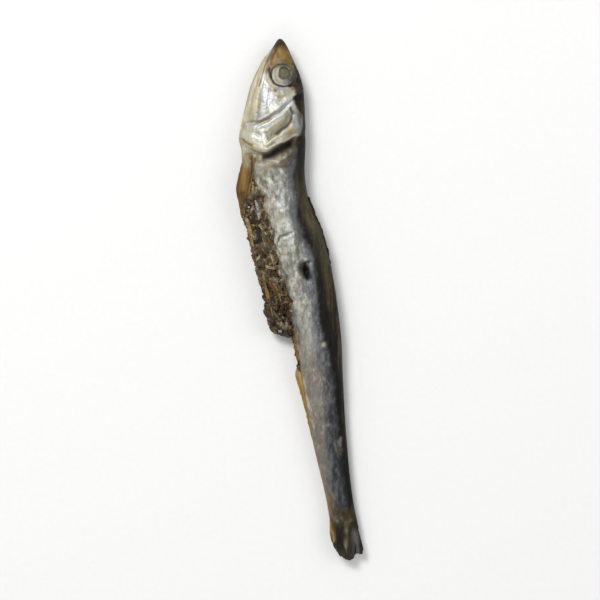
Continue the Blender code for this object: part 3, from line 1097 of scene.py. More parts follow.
HEAD_MARKS = marks(
    # Snout and jaw.
    ((-3.2, 2.3, -2.6, 3.6), 0.6, HONEY, 0.35, 0.05),
    ((-3.9, 1.3, -4.5, 2.8, -4.9, 4.2, -5.2, 5.4), 0.34, BROWN, 0.75, -0.1),
    ((-4.2, 3, -4.4, 4.2), 0.3, HONEY, 0.5, 0.08),
    ((-4.8, 2.7, -5.2, 3.9, -5.4, 5.1), 0.34, BROWN, 0.6),
    ((-2.2, 1.4, -1.5, 2.6, -0.9, 3.9, -0.5, 4.9), 0.24, DARK_OLIVE, 0.75),
    ((-3.7, 1.7, -3.9, 3), 0.22, OLIVE, 0.6, -0.04),
    ((-2, 2, -1.7, 3.2, -1.4, 4.4), 0.34, OLIVE, 0.7, -0.03),
    ((-3, 3.9, -2.2, 4.1), 0.26, BROWN, 0.4, -0.05),
    ((-5, 2, -6.2, 3.8, -7.3, 6.1, -8.4, 9.2, -9.3, 12.8), 0.28, CREAM, 0.7, 0.07),
    ((-5.6, 3.2, -6.8, 6, -7.8, 9.3, -8.6, 13.1), 0.2, HONEY, 0.6, -0.08),
    ((-5.8, 4.4, -6.6, 7, -7.3, 9.7, -7.9, 13.1), 0.26, CREAM, 0.6, 0.04),
    ((-6.9, 4.8, -7.9, 7.4, -9, 11.4), 0.15, GOLD, 0.4, -0.05),
    ((-7.4, 6.6, -8.2, 9, -8.7, 11.6), 0.16, PEARL, 0.5, 0.04),
    ((-6.2, 7, -6.7, 9.5, -7.1, 11.5, -7.2, 13.3), 0.17, GOLD, 0.6, -0.08),
    # Pale line along the jaw's outer edge: painted highlight.
    ((-9.3, 12, -9.6, 13.6), 0.3, PEARL, 0.6, 0.05, 0.2),
    # Cheek.
    # Pearl cheek plate: the skin's own silver with painted highlights on it.
    ((-6.2, 6.6, -6, 9, -5.7, 11), 0.7, PEARL, 0.8, 0.03, 0.2, 0, 1.5),
    ((-4.6, 9.9, -4.7, 11.6), 0.85, PEARL, 0.45, 0.03, 0.1),
    ((-5.9, 8.2, -5.7, 9.6), 0.12, GREY, 0.35, -0.03),
    # Thin grey line: painted shade in a faint crease of the cheek.
    ((-4.4, 10.4, -5, 11.8), 0.12, GREY, 0.35, -0.03),
    ((-3.4, 10.6, -4.2, 12), 0.5, SILVER, 0.6, 0, 0.1),
    ((-3.6, 11.2, -4.6, 12.2), 0.4, BEIGE, 0.4),
    ((-5.2, 7.6, -5.4, 9.2), 0.3, SILVER, 0.6, -0.03, 0.1),
    # Thin grey line: painted shade in a faint crease of the cheek.
    ((-5.2, 8.9, -5.5, 10.8, -5.6, 12.6), 0.16, GREY, 0.45, -0.07),
    ((-6.3, 12.2, -5.4, 12.9, -4.2, 12.4), 0.4, BEIGE, 0.45),
    ((-5.3, 7.4, -4.7, 8.8, -3.6, 9.9, -2.2, 9.9, -1.3, 9), 0.42, BEIGE, 0.85, 0.07, -0.3),
    ((-4.1, 9.2), (0.34, 0.3), BROWN, 0.85, -0.1, -0.2, 30),
    ((-3.5, 10.2), (0.3, 0.24), GOLD, 0.8, -0.06, -0.2),
    ((-3, 9.4, -2.6, 9.9), 0.22, CREAM, 0.8, 0.08),
    ((-1.2, 8.7), (0.4, 0.3), BROWN, 0.8, -0.1, -0.2),
    ((-2.3, 10.6, -1.5, 10.1, -1.1, 9.7), 0.3, CREAM, 0.8, 0.08, 0.1),
    # Fold between the cheek and the gill cover.
    ((-9.9, 14.9, -8.2, 14.4, -6.8, 14.5, -5.1, 13.8), 0.2, GOLD, 0.75, -0.08),
    # Dark grey line: painted shade in the crease of the fold.
    ((-4.9, 13.3, -3.5, 12.4, -2.4, 11.4), 0.16, GREY, 0.7, -0.12),
    # Pearl bands on the fold's raised edge: the skin's silver with painted highlights.
    ((-8.8, 15, -7.1, 15.3, -5.5, 14.7, -3.9, 13.7, -2.2, 12.3, -1.1, 10.8),
     0.32, PEARL, 0.95, 0.16, 0.5),
    ((-5.6, 15.2, -4.6, 14.8), 0.3, PEARL, 0.9, 0.08, 0.5),
    # Gill cover.
    ((-9.9, 16, -8, 16.9, -6.6, 17.2), 0.55, PEARL, 0.55, 0.06, 0.3),
    ((-9.7, 15.4), (0.5, 0.35), GOLD, 0.55, -0.04),
    ((-7.4, 16.4, -6.6, 17), 0.25, GREY, 0.4, -0.08),
    ((-6.4, 16, -5.8, 17.4, -5.9, 18.6), 0.42, PEARL, 0.6, 0.08, 0.3),
    # Olive band: painted shade between the folds of the gill cover.
    ((-5.2, 17.2, -3.9, 16, -2.8, 14.8, -1.9, 13.3), 0.62, OLIVE, 0.7, -0.05, -0.15),
    ((-5.4, 17.6, -4.4, 16.9, -3.4, 15.9), 0.2, HONEY, 0.5, 0, -0.1),
    # Beige band: the fold's pale skin with a painted highlight along its ridge.
    ((-5.6, 16, -4.2, 14.9, -2.9, 13.8), 0.3, BEIGE, 0.7, 0.08),
    ((-5.7, 16.2, -5.5, 17.4, -5.7, 18.2), 0.24, OLIVE, 0.4),
    ((-8.9, 16.6, -8.1, 17.6), 0.4, BEIGE, 0.45),
    # Dark olive line: painted shade in the crease of a fold.
    ((-1.5, 12.2, -1.1, 13.2, -1.5, 14.4, -2.6, 15.4, -3.9, 16.4),
     0.24, DARK_OLIVE, 0.9, -0.26, -0.2),
    # Cream line: painted highlight along the raised rim of the gill cover.
    ((-5.8, 18.3, -4.8, 17.6, -3.4, 16.7, -2, 15.6, -1.3, 14.9), 0.24, CREAM, 0.9, 0.15, 0.1),
    ((-5.6, 18.8, -4.2, 18), 0.14, OLIVE, 0.7, -0.08),
    ((-1.7, 16.3), (0.9, 0.55), GOLD, 0.9, 0.06, -0.3, -35),
    ((-5.6, 19.1, -3.9, 18.3, -2.2, 17.6, -0.8, 16.6), 0.2, CREAM, 0.9, 0.12),
    # Throat.
    ((-10.3, 16.8, -9.3, 17.6, -8.2, 18.4), 0.2, BROWN, 0.85, -0.2, -0.2),
    ((-8, 18.6, -7.5, 19.6, -6.6, 20.2), 0.3, HONEY, 0.75, 0.08),
    ((-9.8, 18.4, -8.6, 19.4, -8.4, 20.6), 0.5, BEIGE, 0.7, 0.05),
    ((-9.3, 18.9), (0.4, 0.7), CREAM, 0.7, 0.05, 0.1, 20),
    # Shoulder behind the slit.
    ((-3.2, 20, -2, 19.2, -0.9, 18), 0.55, BROWN, 0.55, -0.04, -0.2),
    ((-2.7, 20.6, -1.6, 19.8), 0.75, UMBER, 0.65, 0, -0.3),
    ((-6.6, 20.5, -4.9, 21.1, -3.5, 21.3), 0.34, CREAM, 0.9, 0.2, -0.1),
    ((-3.3, 21.2, -2.2, 20.5, -1.4, 19.6, -1, 19), 0.3, OLIVE, 0.85, 0.16, -0.2),
    # Brown line under the raised collar: painted shadow.
    ((-7.4, 21, -5.8, 22, -3.9, 22.1, -2.2, 21.6, -1.2, 20.4), 0.34, BROWN, 0.6, -0.1, -0.2),
    ((-3.4, 22.3, -1.9, 21.9, -1.1, 20.9), 0.26, DARK_OLIVE, 0.5, -0.05, -0.1),
    ((-7.6, 20.6, -8.2, 22.4, -8.9, 24.4), 0.22, BROWN, 0.85, -0.18, -0.3),
    # Nape.
    ((-0.45, 14.3), (0.75, 1.9), BLUE_GREY, 0.9, 0.06, 0.1, -4, 1.6),
    ((-0.8, 13.5, -0.6, 15.2), 0.34, SILVER, 0.95, 0.04, 0.2),
    ((0, 12, 0.1, 13.6), 0.25, UMBER, 0.7, -0.03),
    ((-0.2, 10.6), (0.9, 1.1), BLACK, 0.95, -0.1, -0.3, 0, 1.6),
    ((-0.9, 8.1, -0.3, 7.3, -0.1, 6.2, -0.6, 5), 0.36, BLACK, 0.85, -0.1),
)

EYE_MARKS = marks(
    ((-4.5, 5.4, -3.7, 4.5, -2.6, 4.15, -1.5, 4.5), 0.24, OLIVE, 0.6, 0.1, -0.6),
    ((-4.6, 4.6, -3.6, 3.9, -2.4, 3.6, -1.4, 4), 0.3, GOLD, 0.6),
    ((-5.3, 4.2, -5.6, 5.6, -5.4, 7), 0.3, GOLD, 0.5),
    ((-3.4, 4, -2.4, 3.85), 0.14, OLIVE, 0.5),
    ((-5.5, 5.6, -5.2, 6.8, -4.6, 7.9, -3.7, 8.7), 0.22, GREY, 0.5, 0.12),
    # Dark line at the socket's lower left: painted shadow in the crease.
    ((-5.3, 5.4, -5, 6.6, -4.4, 7.6, -3.5, 8.3), 0.16, DARK_OLIVE, 0.9, -0.2, -0.3),
    ((-3.5, 8.35, -2.6, 8.5, -1.8, 8.35), 0.2, GOLD, 0.6, 0.04),
    # Dark line at the socket's lower right: painted shadow in the crease.
    ((-1.7, 8.3, -0.9, 8, -0.4, 7.3), 0.26, UMBER, 0.95, -0.22, -0.3),
)

FLANK_MARKS = marks(
    # Crack in the skin beside the tear, and the folds before it.
    ((-3.9, 35, -3.85, 34.3, -3.5, 33.8, -2.6, 33.6, -1.3, 33.2),
     0.13, UMBER, 0.9, -0.26, -0.3, 0, 1.5),
    ((-3.6, 35.2, -3.4, 34.4, -2.4, 34.1, -1.3, 33.7), 0.2, PEARL, 0.6, 0.1),
    ((-3.5, 35, -3.3, 36.6), 0.18, CREAM, 0.6, 0.1),
    ((-5.9, 29.4, -5.3, 31, -5, 32.8), 0.16, BROWN, 0.7, -0.16, -0.3),
    ((-5.5, 29.4, -4.9, 31.2, -4.7, 32.8), 0.18, CREAM, 0.8, 0.14),
    ((-4.8, 30, -4.35, 31.6, -4.3, 33.2), 0.14, OLIVE, 0.65, -0.14, -0.2),
    ((-3.2, 32, -2.4, 32.8), 0.55, PEARL, 0.6, 0.08),
    ((-6.6, 26, -5.7, 28.4, -5.1, 30.8), 0.22, GOLD, 0.4, -0.06),
    # Veins and rubbed places of the flank.
    ((-4.5, 23.8, -4.3, 25.4, -3.9, 26.8), 1, PEARL, 0.42, 0, 0, 0, 0.8),
    ((-2.9, 23.6, -2.8, 25.2), 0.5, SILVER, 0.45, 0, 0, 0, 0.8),
    ((-4.4, 29.2, -3.9, 30.8), 0.9, OLIVE, 0.3, 0, 0, 0, 0.8),
    ((-6.6, 23.2, -6, 24.4, -4.6, 24), 0.16, CREAM, 0.6, 0.1),
    ((-5, 24.8), (0.42, 0.34), PEARL, 0.95, 0.14, 0.2, 20),
    ((-6.1, 26.2), (0.4, 0.3), PEARL, 0.9, 0.12, 0.2, 30),
    ((-3.2, 23), (0.36, 0.5), PEARL, 0.7, 0.08, 0.1, -20),
    ((-3.8, 28.2), (0.4, 0.9), PEARL, 0.7, 0.06, 0.1, -20),
    ((-6.3, 25.3, -5.6, 25.6), 0.24, BROWN, 0.6, -0.1),
    ((-6.1, 22.6), (0.5, 0.3), BROWN, 0.6, -0.08, 0, 10),
    ((-4.4, 26.6, -4.2, 27.6), 0.2, GOLD, 0.6, -0.08),
    ((-3, 25.6, -3.3, 26.6), 0.22, OLIVE, 0.6, -0.06),
    ((-2.4, 29.6, -2.1, 31.2), 0.16, OLIVE, 0.5, -0.06),
    ((-3.2, 37.4, -2.4, 39.6, -1.7, 42), 0.3, CREAM, 0.4, 0.05),
    ((-0.2, 45.6), (0.5, 0.7), BEIGE, 0.3, 0.03, 0, -15),
    ((0.6, 47.6), (0.3, 0.5), HONEY, 0.3, 0.03, 0, -15),
    # Rear of the flank.
    ((-1.9, 50.4, -1.1, 52.6, -0.7, 54.3, -0.5, 55.6), 0.46, BROWN, 0.9, 0, -0.3),
    ((-1.1, 50.6, -0.6, 52.6, -0.3, 54.6), 0.14, UMBER, 0.6, -0.08),
    ((-0.35, 55.5), (0.35, 0.5), BLACK, 0.95, -0.15, -0.3),
    ((0.3, 56.6, 1.1, 60.4, 2, 64.5, 2.5, 67.5), 0.26, CREAM, 0.5, 0.04),
    ((6.35, 69.6), (0.3, 1.1), UMBER, 0.65, -0.12, 0, -8),
    ((7, 68.2, 6.8, 69.4), 0.26, GREY, 0.7, 0.06, 0.1),
    ((6, 69, 6.2, 70.4, 6.9, 71), 0.16, GREY, 0.5, 0.04, 0.1),
    ((6.9, 70.2), (0.4, 0.5), OLIVE, 0.6),
    ((5.3, 77.3, 5.9, 78.6, 5.6, 80), 0.2, GREY, 0.55, 0.05, 0.1),
    ((7, 76.8, 7.4, 78.4), 0.24, GREY, 0.45, 0.04),
    ((5.3, 79.3), (0.45, 1.5), BROWN, 0.75, 0, -0.1, -8),
    ((6.5, 78.4, 6.9, 80.2), 0.3, UMBER, 0.5, -0.05),
    ((6.4, 82.3), (0.45, 0.36), GREY, 0.8, 0.06, 0.1, -35),
    ((8.1, 80.6, 8.5, 82), 0.36, BROWN, 0.6, -0.08, -0.1),
    ((7.5, 81.3), (0.8, 0.6), UMBER, 0.8, -0.05),
    ((7.8, 82.6, 8.8, 82.2), 0.26, OLIVE, 0.9, 0.06),
)


class SkinCoat(Coat):
    """The skin's tint, shine, grit and stain, laid on from broad areas to fine marks.

    Attributes:
        skin: the skin that is coloured.
        lines: its features.
        places: places on its bare form.
        turn: angle of each place round the body.
        across: where each place is across, shifted a little.
        run: the run of each place, shifted a little.
        share: where each place is from the belly at -1 to the back at 1.
        gap: how far back from the gill cover's edge each place is.
        past_blue: how far each place is past the line where the flank turns blue-grey.
        past_black: how far each place is past the line where the back turns black.
        head: 1 on the head and 0 behind it.
        cloud, streak, dapple, speck, fine: noises from broad to fine.
        shine: how bright and smooth each place is.
        grit: how rough and flecked it is.
        stain: how rusty it is.
    """

    def __init__(self, skin: "Skin", places: Array, turn: Array) -> None:
        """Works out where each place is and the noises that mottle it."""
        super().__init__(plain(PALE, turn.shape))
        self.skin, self.lines, self.places, self.turn = skin, skin.features, places, turn
        self.across, self.run = skin.warp(places)
        self.share = power(np.cos(turn), SPACING)
        self.gap = self.lines.behind_gill(self.across, self.run)
        self.past_blue = self.across - Curve(self.lines.blue_line).at(self.run)
        self.past_black = self.across - Curve(self.lines.black_line).at(self.run)
        edge = Curve(self.lines.gill_edge).at(self.across)
        self.head = below(self.run, edge + 0.4, 0.5)
        self.cloud = self._noise(3.4, 3)
        self.streak = self._noise(0.9, 3, (1, 0.22, 1))
        self.dapple = self._noise(1, 2, (1, 0.75, 1))
        self.speck = skin.noise.at(places[..., ::-1] * (1, 0.6, 1), 0.5, 2)
        self.fine = self._noise(0.42, 2, (1, 0.6, 1), 17)
        self.shine = 0.5 - 0.22 * over(self.run, 45, 15)
        self.grit = over(self.run, 22, 3) * (0.1 + 0.6 * below(self.run, 50, 17))
        self.grit += 0.32 * between(self.run, 44, 68, 7)
        self.stain = 0.35 * over(self.run, 22, 3) * below(self.share, -0.1, 0.6)

    def _noise(self, size: float, octaves: int, squeeze: Colour = (1, 1, 1),
               shift: float = 0) -> Array:
        """Noise on the bare form, drawn out along the axes that are squeezed."""
        return self.skin.noise.at(self.places * squeeze + shift, size, octaves)

    def _flank(self) -> None:
        """Lays the pale flank, pearly at its middle and pink-grey to the rear."""
        self.lay(PEARL, 0.4 * hill(self.run, 35, 7))
        self.lay(PINK_GREY, 0.92 * over(self.run, 46, 14))
        self.lay(GREY, 0.5 * ease(0.3 + self.cloud * 1.3))

    def _head(self) -> None:
        """Lays the silver cheek, the beige jaw and gill cover, and the gold snout."""
        across, run, head, streak = self.across, self.run, self.head, self.streak
        border = Curve(self.lines.jaw_border).at(run)
        self.lay(SILVER, head)
        jaw = head * ease((border - across) / 0.25 + 0.5)
        self.lay(BEIGE, jaw * 0.8)
        self.lay(CREAM, jaw * 0.5 * ease(streak + 0.2))
        gill = head * ease(self.lines.behind_cheek(across, run) / 0.5)
        self.lay(BEIGE, gill * (0.45 + 0.3 * ease(self.cloud)))
        snout = head * ease((5 + 0.25 * (across + 2.9) - run + 0.9 * streak) / 1.5)
        self.lay(GOLD, snout * (1 - 0.8 * jaw) * 0.9)
        bare = snout * (1 - jaw)
        self.layer(bare, (BROWN, 0.7, self.cloud, -0.2, 0.5), (OLIVE, 0.5, -streak, 0.1, 0.4))
        self.shine += head * (0.38 - 0.36 * jaw - 0.33 * snout) - 0.1 * gill
        self.grit *= 1 - 0.85 * head
        self.stain = self.stain * (1 - head) + head * (0.12 + 0.3 * snout)

    def _shoulder(self) -> None:
        """Lays the stained shoulder behind the slit, the flecks of the front flank and a painted
        sheen along the flank's middle.
        """
        run, share, dapple, speck = self.run, self.share, self.dapple, self.speck
        self.lay(BEIGE, 0.5 * hill(self.gap, 2.2, 1.1) * ease(-0.1 - self.across))
        shoulder = hill(run, 23.6, 2.6) * ease(-0.8 - self.across) * (1 - self.head)
        self.layer(shoulder, (OLIVE, 0.62, dapple, -0.2, 0.4), (BROWN, 0.45, -speck, 0.05, 0.4))
        front = over(run, 22, 3) * below(run, 56, 16) * (1 - self.head)
        self.layer(front, (PEARL, 0.42, speck, 0.1, 0.4))
        # Painted sheen: a pearl band along the middle of the flank.
        self.lay(PEARL, 0.5 * hill(run, 36.5, 4.5) * hill(share, -0.35, 0.45))
        self.lay(BEIGE, 0.25 * front * below(share, 0.05, 0.7))
        vein = self._noise(0.9, 2, (1, 0.28, 1), 5)
        self.lay(OLIVE, 0.6 * front * over(-vein, 0.1, 0.45) * ease(0.8 - share))
        self.layer(
            front, (PEARL, 0.3, vein, 0.15, 0.35), (OLIVE, 0.3, -dapple, 0.2, 0.4),
            (OLIVE, 0.35, -speck, 0.3, 0.3),
        )

    def _rear_flank(self) -> None:
        """Lays the greys and flecks of the flank from the tear to the tail, with painted shade
        along its lower edge by the tear.
        """
        run, share, streak, speck, fine = (
            self.run, self.share, self.streak, self.speck, self.fine
        )
        lower = hill(run, 43, 8)
        self.layer(lower, (GREY, 0.38, streak, -0.3, 0.8), (CREAM, 0.18, -streak, 0.1, 0.5))
        spots = lower * over(self.past_blue, -3.4, 2.4)
        self.layer(spots, (BLUE_GREY, 0.75, fine, 0.02, 0.25))
        self.layer(lower * below(self.past_blue, 0, 1.6), (PEARL, 0.2, -fine, 0.05, 0.5))
        self.layer(spots, (SILVER, 0.3, -fine, 0.2, 0.3))
        self.layer(lower, (HONEY, 0.25, speck, 0.35, 0.3))
        self.layer(hill(share, -0.4, 0.4) * between(run, 41, 51, 3), (PEARL, 0.16))
        # Painted shade where the flank curves down to the tear.
        hem_shade = ease((-0.66 - share + 0.1 * speck) / 0.2) * between(run, 38.5, 51, 2.5)
        self.lay(SLATE, 0.6 * hem_shade)
        behind = over(run, 46, 10)
        self.layer(behind, (BEIGE, 0.22, speck, 0.25, 0.4), (GREY, 0.5, -self.dapple, 0.05, 0.4))
        self.lay(SLATE, 0.24 * over(run, 60, 10))

    def _blue(self) -> None:
        """Lays the blue-grey band under the back, slate to the rear."""
        run, streak, fine = self.run, self.streak, self.fine
        wander = 0.35 * streak + 0.3 * self.dapple
        blue = ease((self.past_blue + wander) / 1.7 + 0.5) * over(run, 15, 4)
        self.layer(blue, (BLUE_GREY, 0.82), (GREY, 0.5, streak, 0.1, 0.5))
        self.grit *= 1 - 0.5 * blue
        mottled = blue * between(run, 37, 60, 6)
        self.layer(mottled, (SILVER, 0.2, fine, 0.1, 0.35), (BLACK, 0.35, -fine, 0.1, 0.35))
        deep = over(self.past_blue, 1, 1)
        self.lay(SLATE, 0.4 * blue * deep * between(run, 24, 60, 4))
        rear = blue * over(run, 48, 18)
        self.layer(
            rear, (SLATE, 0.88), (GREY, 0.3, streak, 0.2, 0.4), (GREY, 0.24, fine, 0.2, 0.3),
            (BLACK, 0.35, -fine, 0.1, 0.4),
        )

    def _back(self) -> None:
        """Lays the black back with its brown fibres and olive ridge."""
        run, share, fine = self.run, self.share, self.fine
        soft = 0.6 + 0.8 * over(run, 17, 5)
        wander = (0.3 * self.streak + 0.16 * self.speck) * over(run, 16, 6)
        black = ease(self.past_black / soft + wander + 0.5)
        self.lay(BLACK, 0.96 * black)
        fibre = self._noise(0.8, 3, (1.8, 0.12, 1.8))
        brown = black * over(fibre, -0.1, 0.6) * over(run, 20, 4)
        brown *= over(self.past_black, 0, 1.4)
        self.lay(UMBER, 0.7 * brown * ease(0.6 + self.cloud))
        ridge = black * over(share, 0.4, 0.3) * hill(run, 31, 7.2)
        self.lay(OLIVE, 0.7 * ridge * (0.55 + 0.45 * over(fibre, -0.5, 1)))
        self.layer(ridge, (BROWN, 0.3, -fine, 0.1, 0.4))
        glint = black * over(share, 0.5, 0.3) * between(run, 40, 54, 5)
        self.layer(glint, (OLIVE, 0.38, fibre, -0.3, 0.7), (BROWN, 0.2, -fine, 0.05, 0.3))
        self.shine *= 1 - 0.85 * black
        self.grit *= 1 - 0.85 * black

    def _wrist(self) -> None:
        """Lays the dark olive of the wrist of the tail."""
        wrist = ease((self.run - self.skin.wrist + 1.4 * self.streak) / 2.4)
        self.layer(
            wrist, (OLIVE, 0.55), (DARK_OLIVE, 0.7, self.dapple, -0.15, 0.3),
            (UMBER, 0.6, -self.speck, 0.05, 0.3),
        )

    def _socket(self) -> None:
        """Lays the dry gold skin in and round the eye's socket."""
        eye = self.lines.in_socket(self.across, self.run)
        snoutward = ease(0.45 + 0.75 * self.lines.facing(self.across, self.run, -115))
        ring = hill(eye, 1.04, 0.2) * snoutward
        self.layer(ring, (OLIVE, 0.6), (GOLD, 0.5, self.speck, -0.1, 0.4))
        self.lay(BROWN, 0.5 * hill(eye, 1.2, 0.12) * snoutward * ease(0.5 - self.dapple))
        self.lay(DARK_OLIVE, 0.7 * below(eye, 1, 0.08))

    def _marks(self) -> None:
        """Lays the marks of both flanks, worn here and there behind the head."""
        worn = ease(0.75 + 0.9 * self.speck + 0.5 * self.dapple) * (1 - self.head) + self.head
        for mark, flank in self.skin.marks(self.turn):
            shown = mark.share(self.across, self.run) * flank * (worn if mark.cover < 1 else 1)
            self.lay(mark.tone, mark.cover * shown)
            self.shine = self.shine + mark.shine * shown
            smooths = 0.5 * (mark.cover > 0.6) + 0.5 * (mark.cover >= 1)
            self.grit = self.grit * (1 - shown * smooths)

    def _openings(self) -> tuple[Array, Array]:
        """Lays the slit as painted shade in the gill opening, the mouth and the tip of the snout,
        and returns slit and tip.
        """
        # The gill slit is painted dark as shade inside the opening, with a wider, fainter painted
        # shade round it.
        slit = hill(self.gap, 0.85, 0.72) * between(self.across, -6.1, -1.5, 0.8)
        slit_shade = hill(self.gap, 0.9, 1.1) * between(self.across, -4, 0.4, 1.2)
        self.lay(UMBER, 0.55 * slit_shade)
        self.layer(slit, (UMBER, 0.95), (BLACK, 0.6))
        mouth = far(self.across, self.run, self.lines.mouth)
        self.lay(UMBER, 0.75 * bump(mouth / 0.16))
        tip = below(self.run, 2 + 0.5 * self.streak, 1.1)
        self.lay(DARK_OLIVE, 0.92 * tip)
        return slit, tip

    def _nape(self) -> Array:
        """Lays the dark top of the head and returns how strong it is."""
        past = self.across - Curve(self.lines.nape).at(self.run)
        nape = ease(past / 0.5 + 0.5) * ease((self.run - 2.4 + 1.5 * self.streak) / 2.8)
        nape *= below(self.run, 17, 3)
        self.lay(DARK_OLIVE, 0.85 * nape)
        self.lay(BLACK, 0.35 * nape * ease(0.6 + self.dapple))
        return nape

    def _belly(self) -> Array:
        """Lays the keel, the grooved throat and the torn wall, and returns the wall."""
        run, share = self.run, self.share
        keel = ease((-0.84 - share + 0.08 * self.streak) / 0.16)
        self.layer(keel, (HONEY, 0.5, run, 50, 3))
        throat = below(share, -0.82, 0.12) * below(run, 21, 3) * over(run, 2, 2)
        grooves = self._noise(0.7, 3, (0.3, 0.14, 1))
        self.layer(
            throat, (BEIGE, 0.75), (HONEY, 0.6, grooves, 0.05, 0.35),
            (CREAM, 0.6, -grooves, 0.05, 0.35),
        )
        front, rear = self.skin.form.torn
        wall = over(run, front, 1.5) * below(run, rear, 2)
        wall *= below(share, -0.92 - 0.03 * self.cloud, 0.05)
        self.lay(BROWN, 0.9 * wall)
        self.lay(UMBER, wall * ease(self.streak + 0.3))
        return wall

    def paints(self) -> dict[str, Array]:
        """Lays every layer in order and returns the attributes by name."""
        for layer in (self._flank, self._head, self._shoulder, self._rear_flank, self._blue,
                      self._back, self._wrist, self._socket, self._marks):
            layer()
        slit, tip = self._openings()
        nape = self._nape()
        wall = self._belly()
        dark = np.clip(slit + wall + tip * 0.6 + nape * 0.6, 0, 1)
        return {
            "tint": np.clip(self.tint, 0.004, 0.95),
            "shine": np.clip(self.shine * (1 - 0.9 * dark), 0, 1),
            "grit": np.clip(self.grit + 0.5 * wall, 0, 1),
            "stain": np.clip(self.stain, 0, 1),
        }


@dataclass
class Skin:
    """The skin of the head and body, from the snout to the wrist of the tail.

    Attributes:
        form: its bare form.
        features: the lines that its relief and its colours follow.
        spans: end run and count of rows of each stretch.
        turns: columns over the upper and the under flank.
        wrist: run where the tail fin comes out from under it.
        noise: what roughens it.
        finish: its material.
    """

    form: TrunkForm = TrunkForm()
    features: Features = Features()
    spans: tuple[tuple[float, int], ...] = ((23, 215), (52, 190), (84, 135))
    turns: tuple[int, int] = (112, 56)
    wrist: float = 79.6
    noise: Noise = Noise(3)
    finish: SkinFinish = SkinFinish()

    def _grid(self) -> list[Array]:
        """The run of every row and the turn of every column."""
        runs, start = [np.zeros(1)], 0
        for end, count in self.spans:
            runs.append(np.linspace(start, end, count + 1)[1:])
            start = end
        upper, under = self.turns
        turn = np.concatenate((
            np.linspace(0, math.pi, upper, endpoint=False),
            np.linspace(math.pi, FULL_TURN, under + 1),
        ))
        return np.meshgrid(np.concatenate(runs), turn, indexing="ij")

    @staticmethod
    def _outward(places: Array) -> Array:
        """Outward directions of the wrapped grid."""
        ring = places[:, :-1]
        round_ = np.roll(ring, -1, axis=1) - np.roll(ring, 1, axis=1)
        round_ = np.concatenate((round_, round_[:, :1]), axis=1)
        found = unit(np.cross(np.gradient(places, axis=0), round_))
        middle = places.mean(axis=1, keepdims=True)
        return found * np.sign(np.sum(found * (places - middle)))

    def _head_relief(self, across: Array, run: Array) -> Array:
        """The gill cover, the cheek, the slit, the mouth and the eye's socket."""
        lines = self.features
        gill = lines.behind_gill(across, run)
        cheek = lines.behind_cheek(across, run)
        reach = between(across, -6.6, -1.6, 1.2)
        lift = 0.42 * ease(1 + gill / 3.2) * ease(1 - gill / 0.22)
        lift += 0.24 * hill(gill, 2.4, 0.7)
        lift -= (0.25 + 0.75 * reach) * 0.75 * hill(gill, 0.75, 0.55)
        lift += 0.26 * ease(1 + cheek / 1.6) * ease(1 - cheek / 0.4)
        lift -= 0.2 * hill(cheek, 0.55, 0.35)
        lift -= 0.26 * bump(far(across, run, lines.mouth) / 0.2)
        eye = lines.in_socket(across, run)
        low = 0.55 + 0.45 * lines.facing(across, run, 115)
        lift -= 0.46 * (0.4 + 0.6 * low) * below(eye, 1.06, 0.24)
        lift -= 0.4 * below(eye, 0.93, 0.14)
        lift += 0.12 * low * hill(eye, 1.16, 0.1)
        return lift * below(run, 25, 2)

    def _hole(self) -> tuple[Mark, ...]:
        """The torn hole of the upper flank, what surrounds it, a painted highlight at its upper
        right and the pale spot.
        """
        a, r = self.features.hole
        return marks(
            ((a - 0.75, r - 0.4), (0.6, 1.55), DARK_OLIVE, 1, 0.12, -0.3, -8, 1.8),
            ((a - 1.2, r - 1.2, a - 1.25, r - 0.2, a - 1, r + 0.8), 0.13, UMBER, 0.9, -0.1, -0.2),
            ((a - 0.8, r - 0.7), (0.3, 0.8), OLIVE, 0.9, 0, -0.3, -10),
            ((a - 0.5, r + 0.8), (0.3, 0.7), BROWN, 0.7, -0.1, -0.3, -10),
            ((a - 0.35, r - 1.3, a + 0.3, r - 1.6), 0.3, UMBER, 1, -0.2, -0.2),
            ((a - 0.5, r - 1.9, a + 0.1, r - 2.2, a + 0.7, r - 1.3), 0.2, PEARL, 0.7, 0.1, 0.1),
            ((a + 0.15, r + 0.1), (0.6, 1.4), BLACK, 1, -1, -0.9, -12, 4),
            ((a + 0.05, r + 0.9), (0.22, 0.34), UMBER, 0.9, 0.1, 0, -12),
            ((a + 0.3, r + 0.3), (0.14, 0.3), BROWN, 0.5, 0.1, 0, 10),
            # Silver oval at the hole's upper right: painted highlight.
            ((a + 0.95, r - 0.9), (0.3, 0.7), SILVER, 0.5, 0.05, 0, -12),
            ((a + 1.1, r + 0.9), (0.34, 1), SLATE, 0.8, 0.05, -0.1, -12),
            ((4, 52.2), (0.3, 0.38), BEIGE, 1, 0.07, -0.2, 0, 1.4),
        )

    def marks(self, turn: Array) -> Iterator[tuple[Mark, Array]]:
        """Every mark with the flank that it is on, true there and false elsewhere."""
        shared = HEAD_MARKS + EYE_MARKS + FLANK_MARKS
        for upper, marks in ((True, shared + self._hole()), (False, shared)):
            for mark in marks:
                yield mark, (np.sin(turn) > 0) == upper

    def warp(self, places: Array) -> tuple[Array, Array]:
        """Across and run of every place, shifted a little so that no line is ruled."""
        size, octaves, reach = 1.1, 2, 0.14
        across = places[..., 0] + reach * self.noise.at(places, size, octaves)
        other = self.noise.at(places + (31, 0, 0), size, octaves)
        return across, SNOUT_Y - places[..., 1] + reach * other

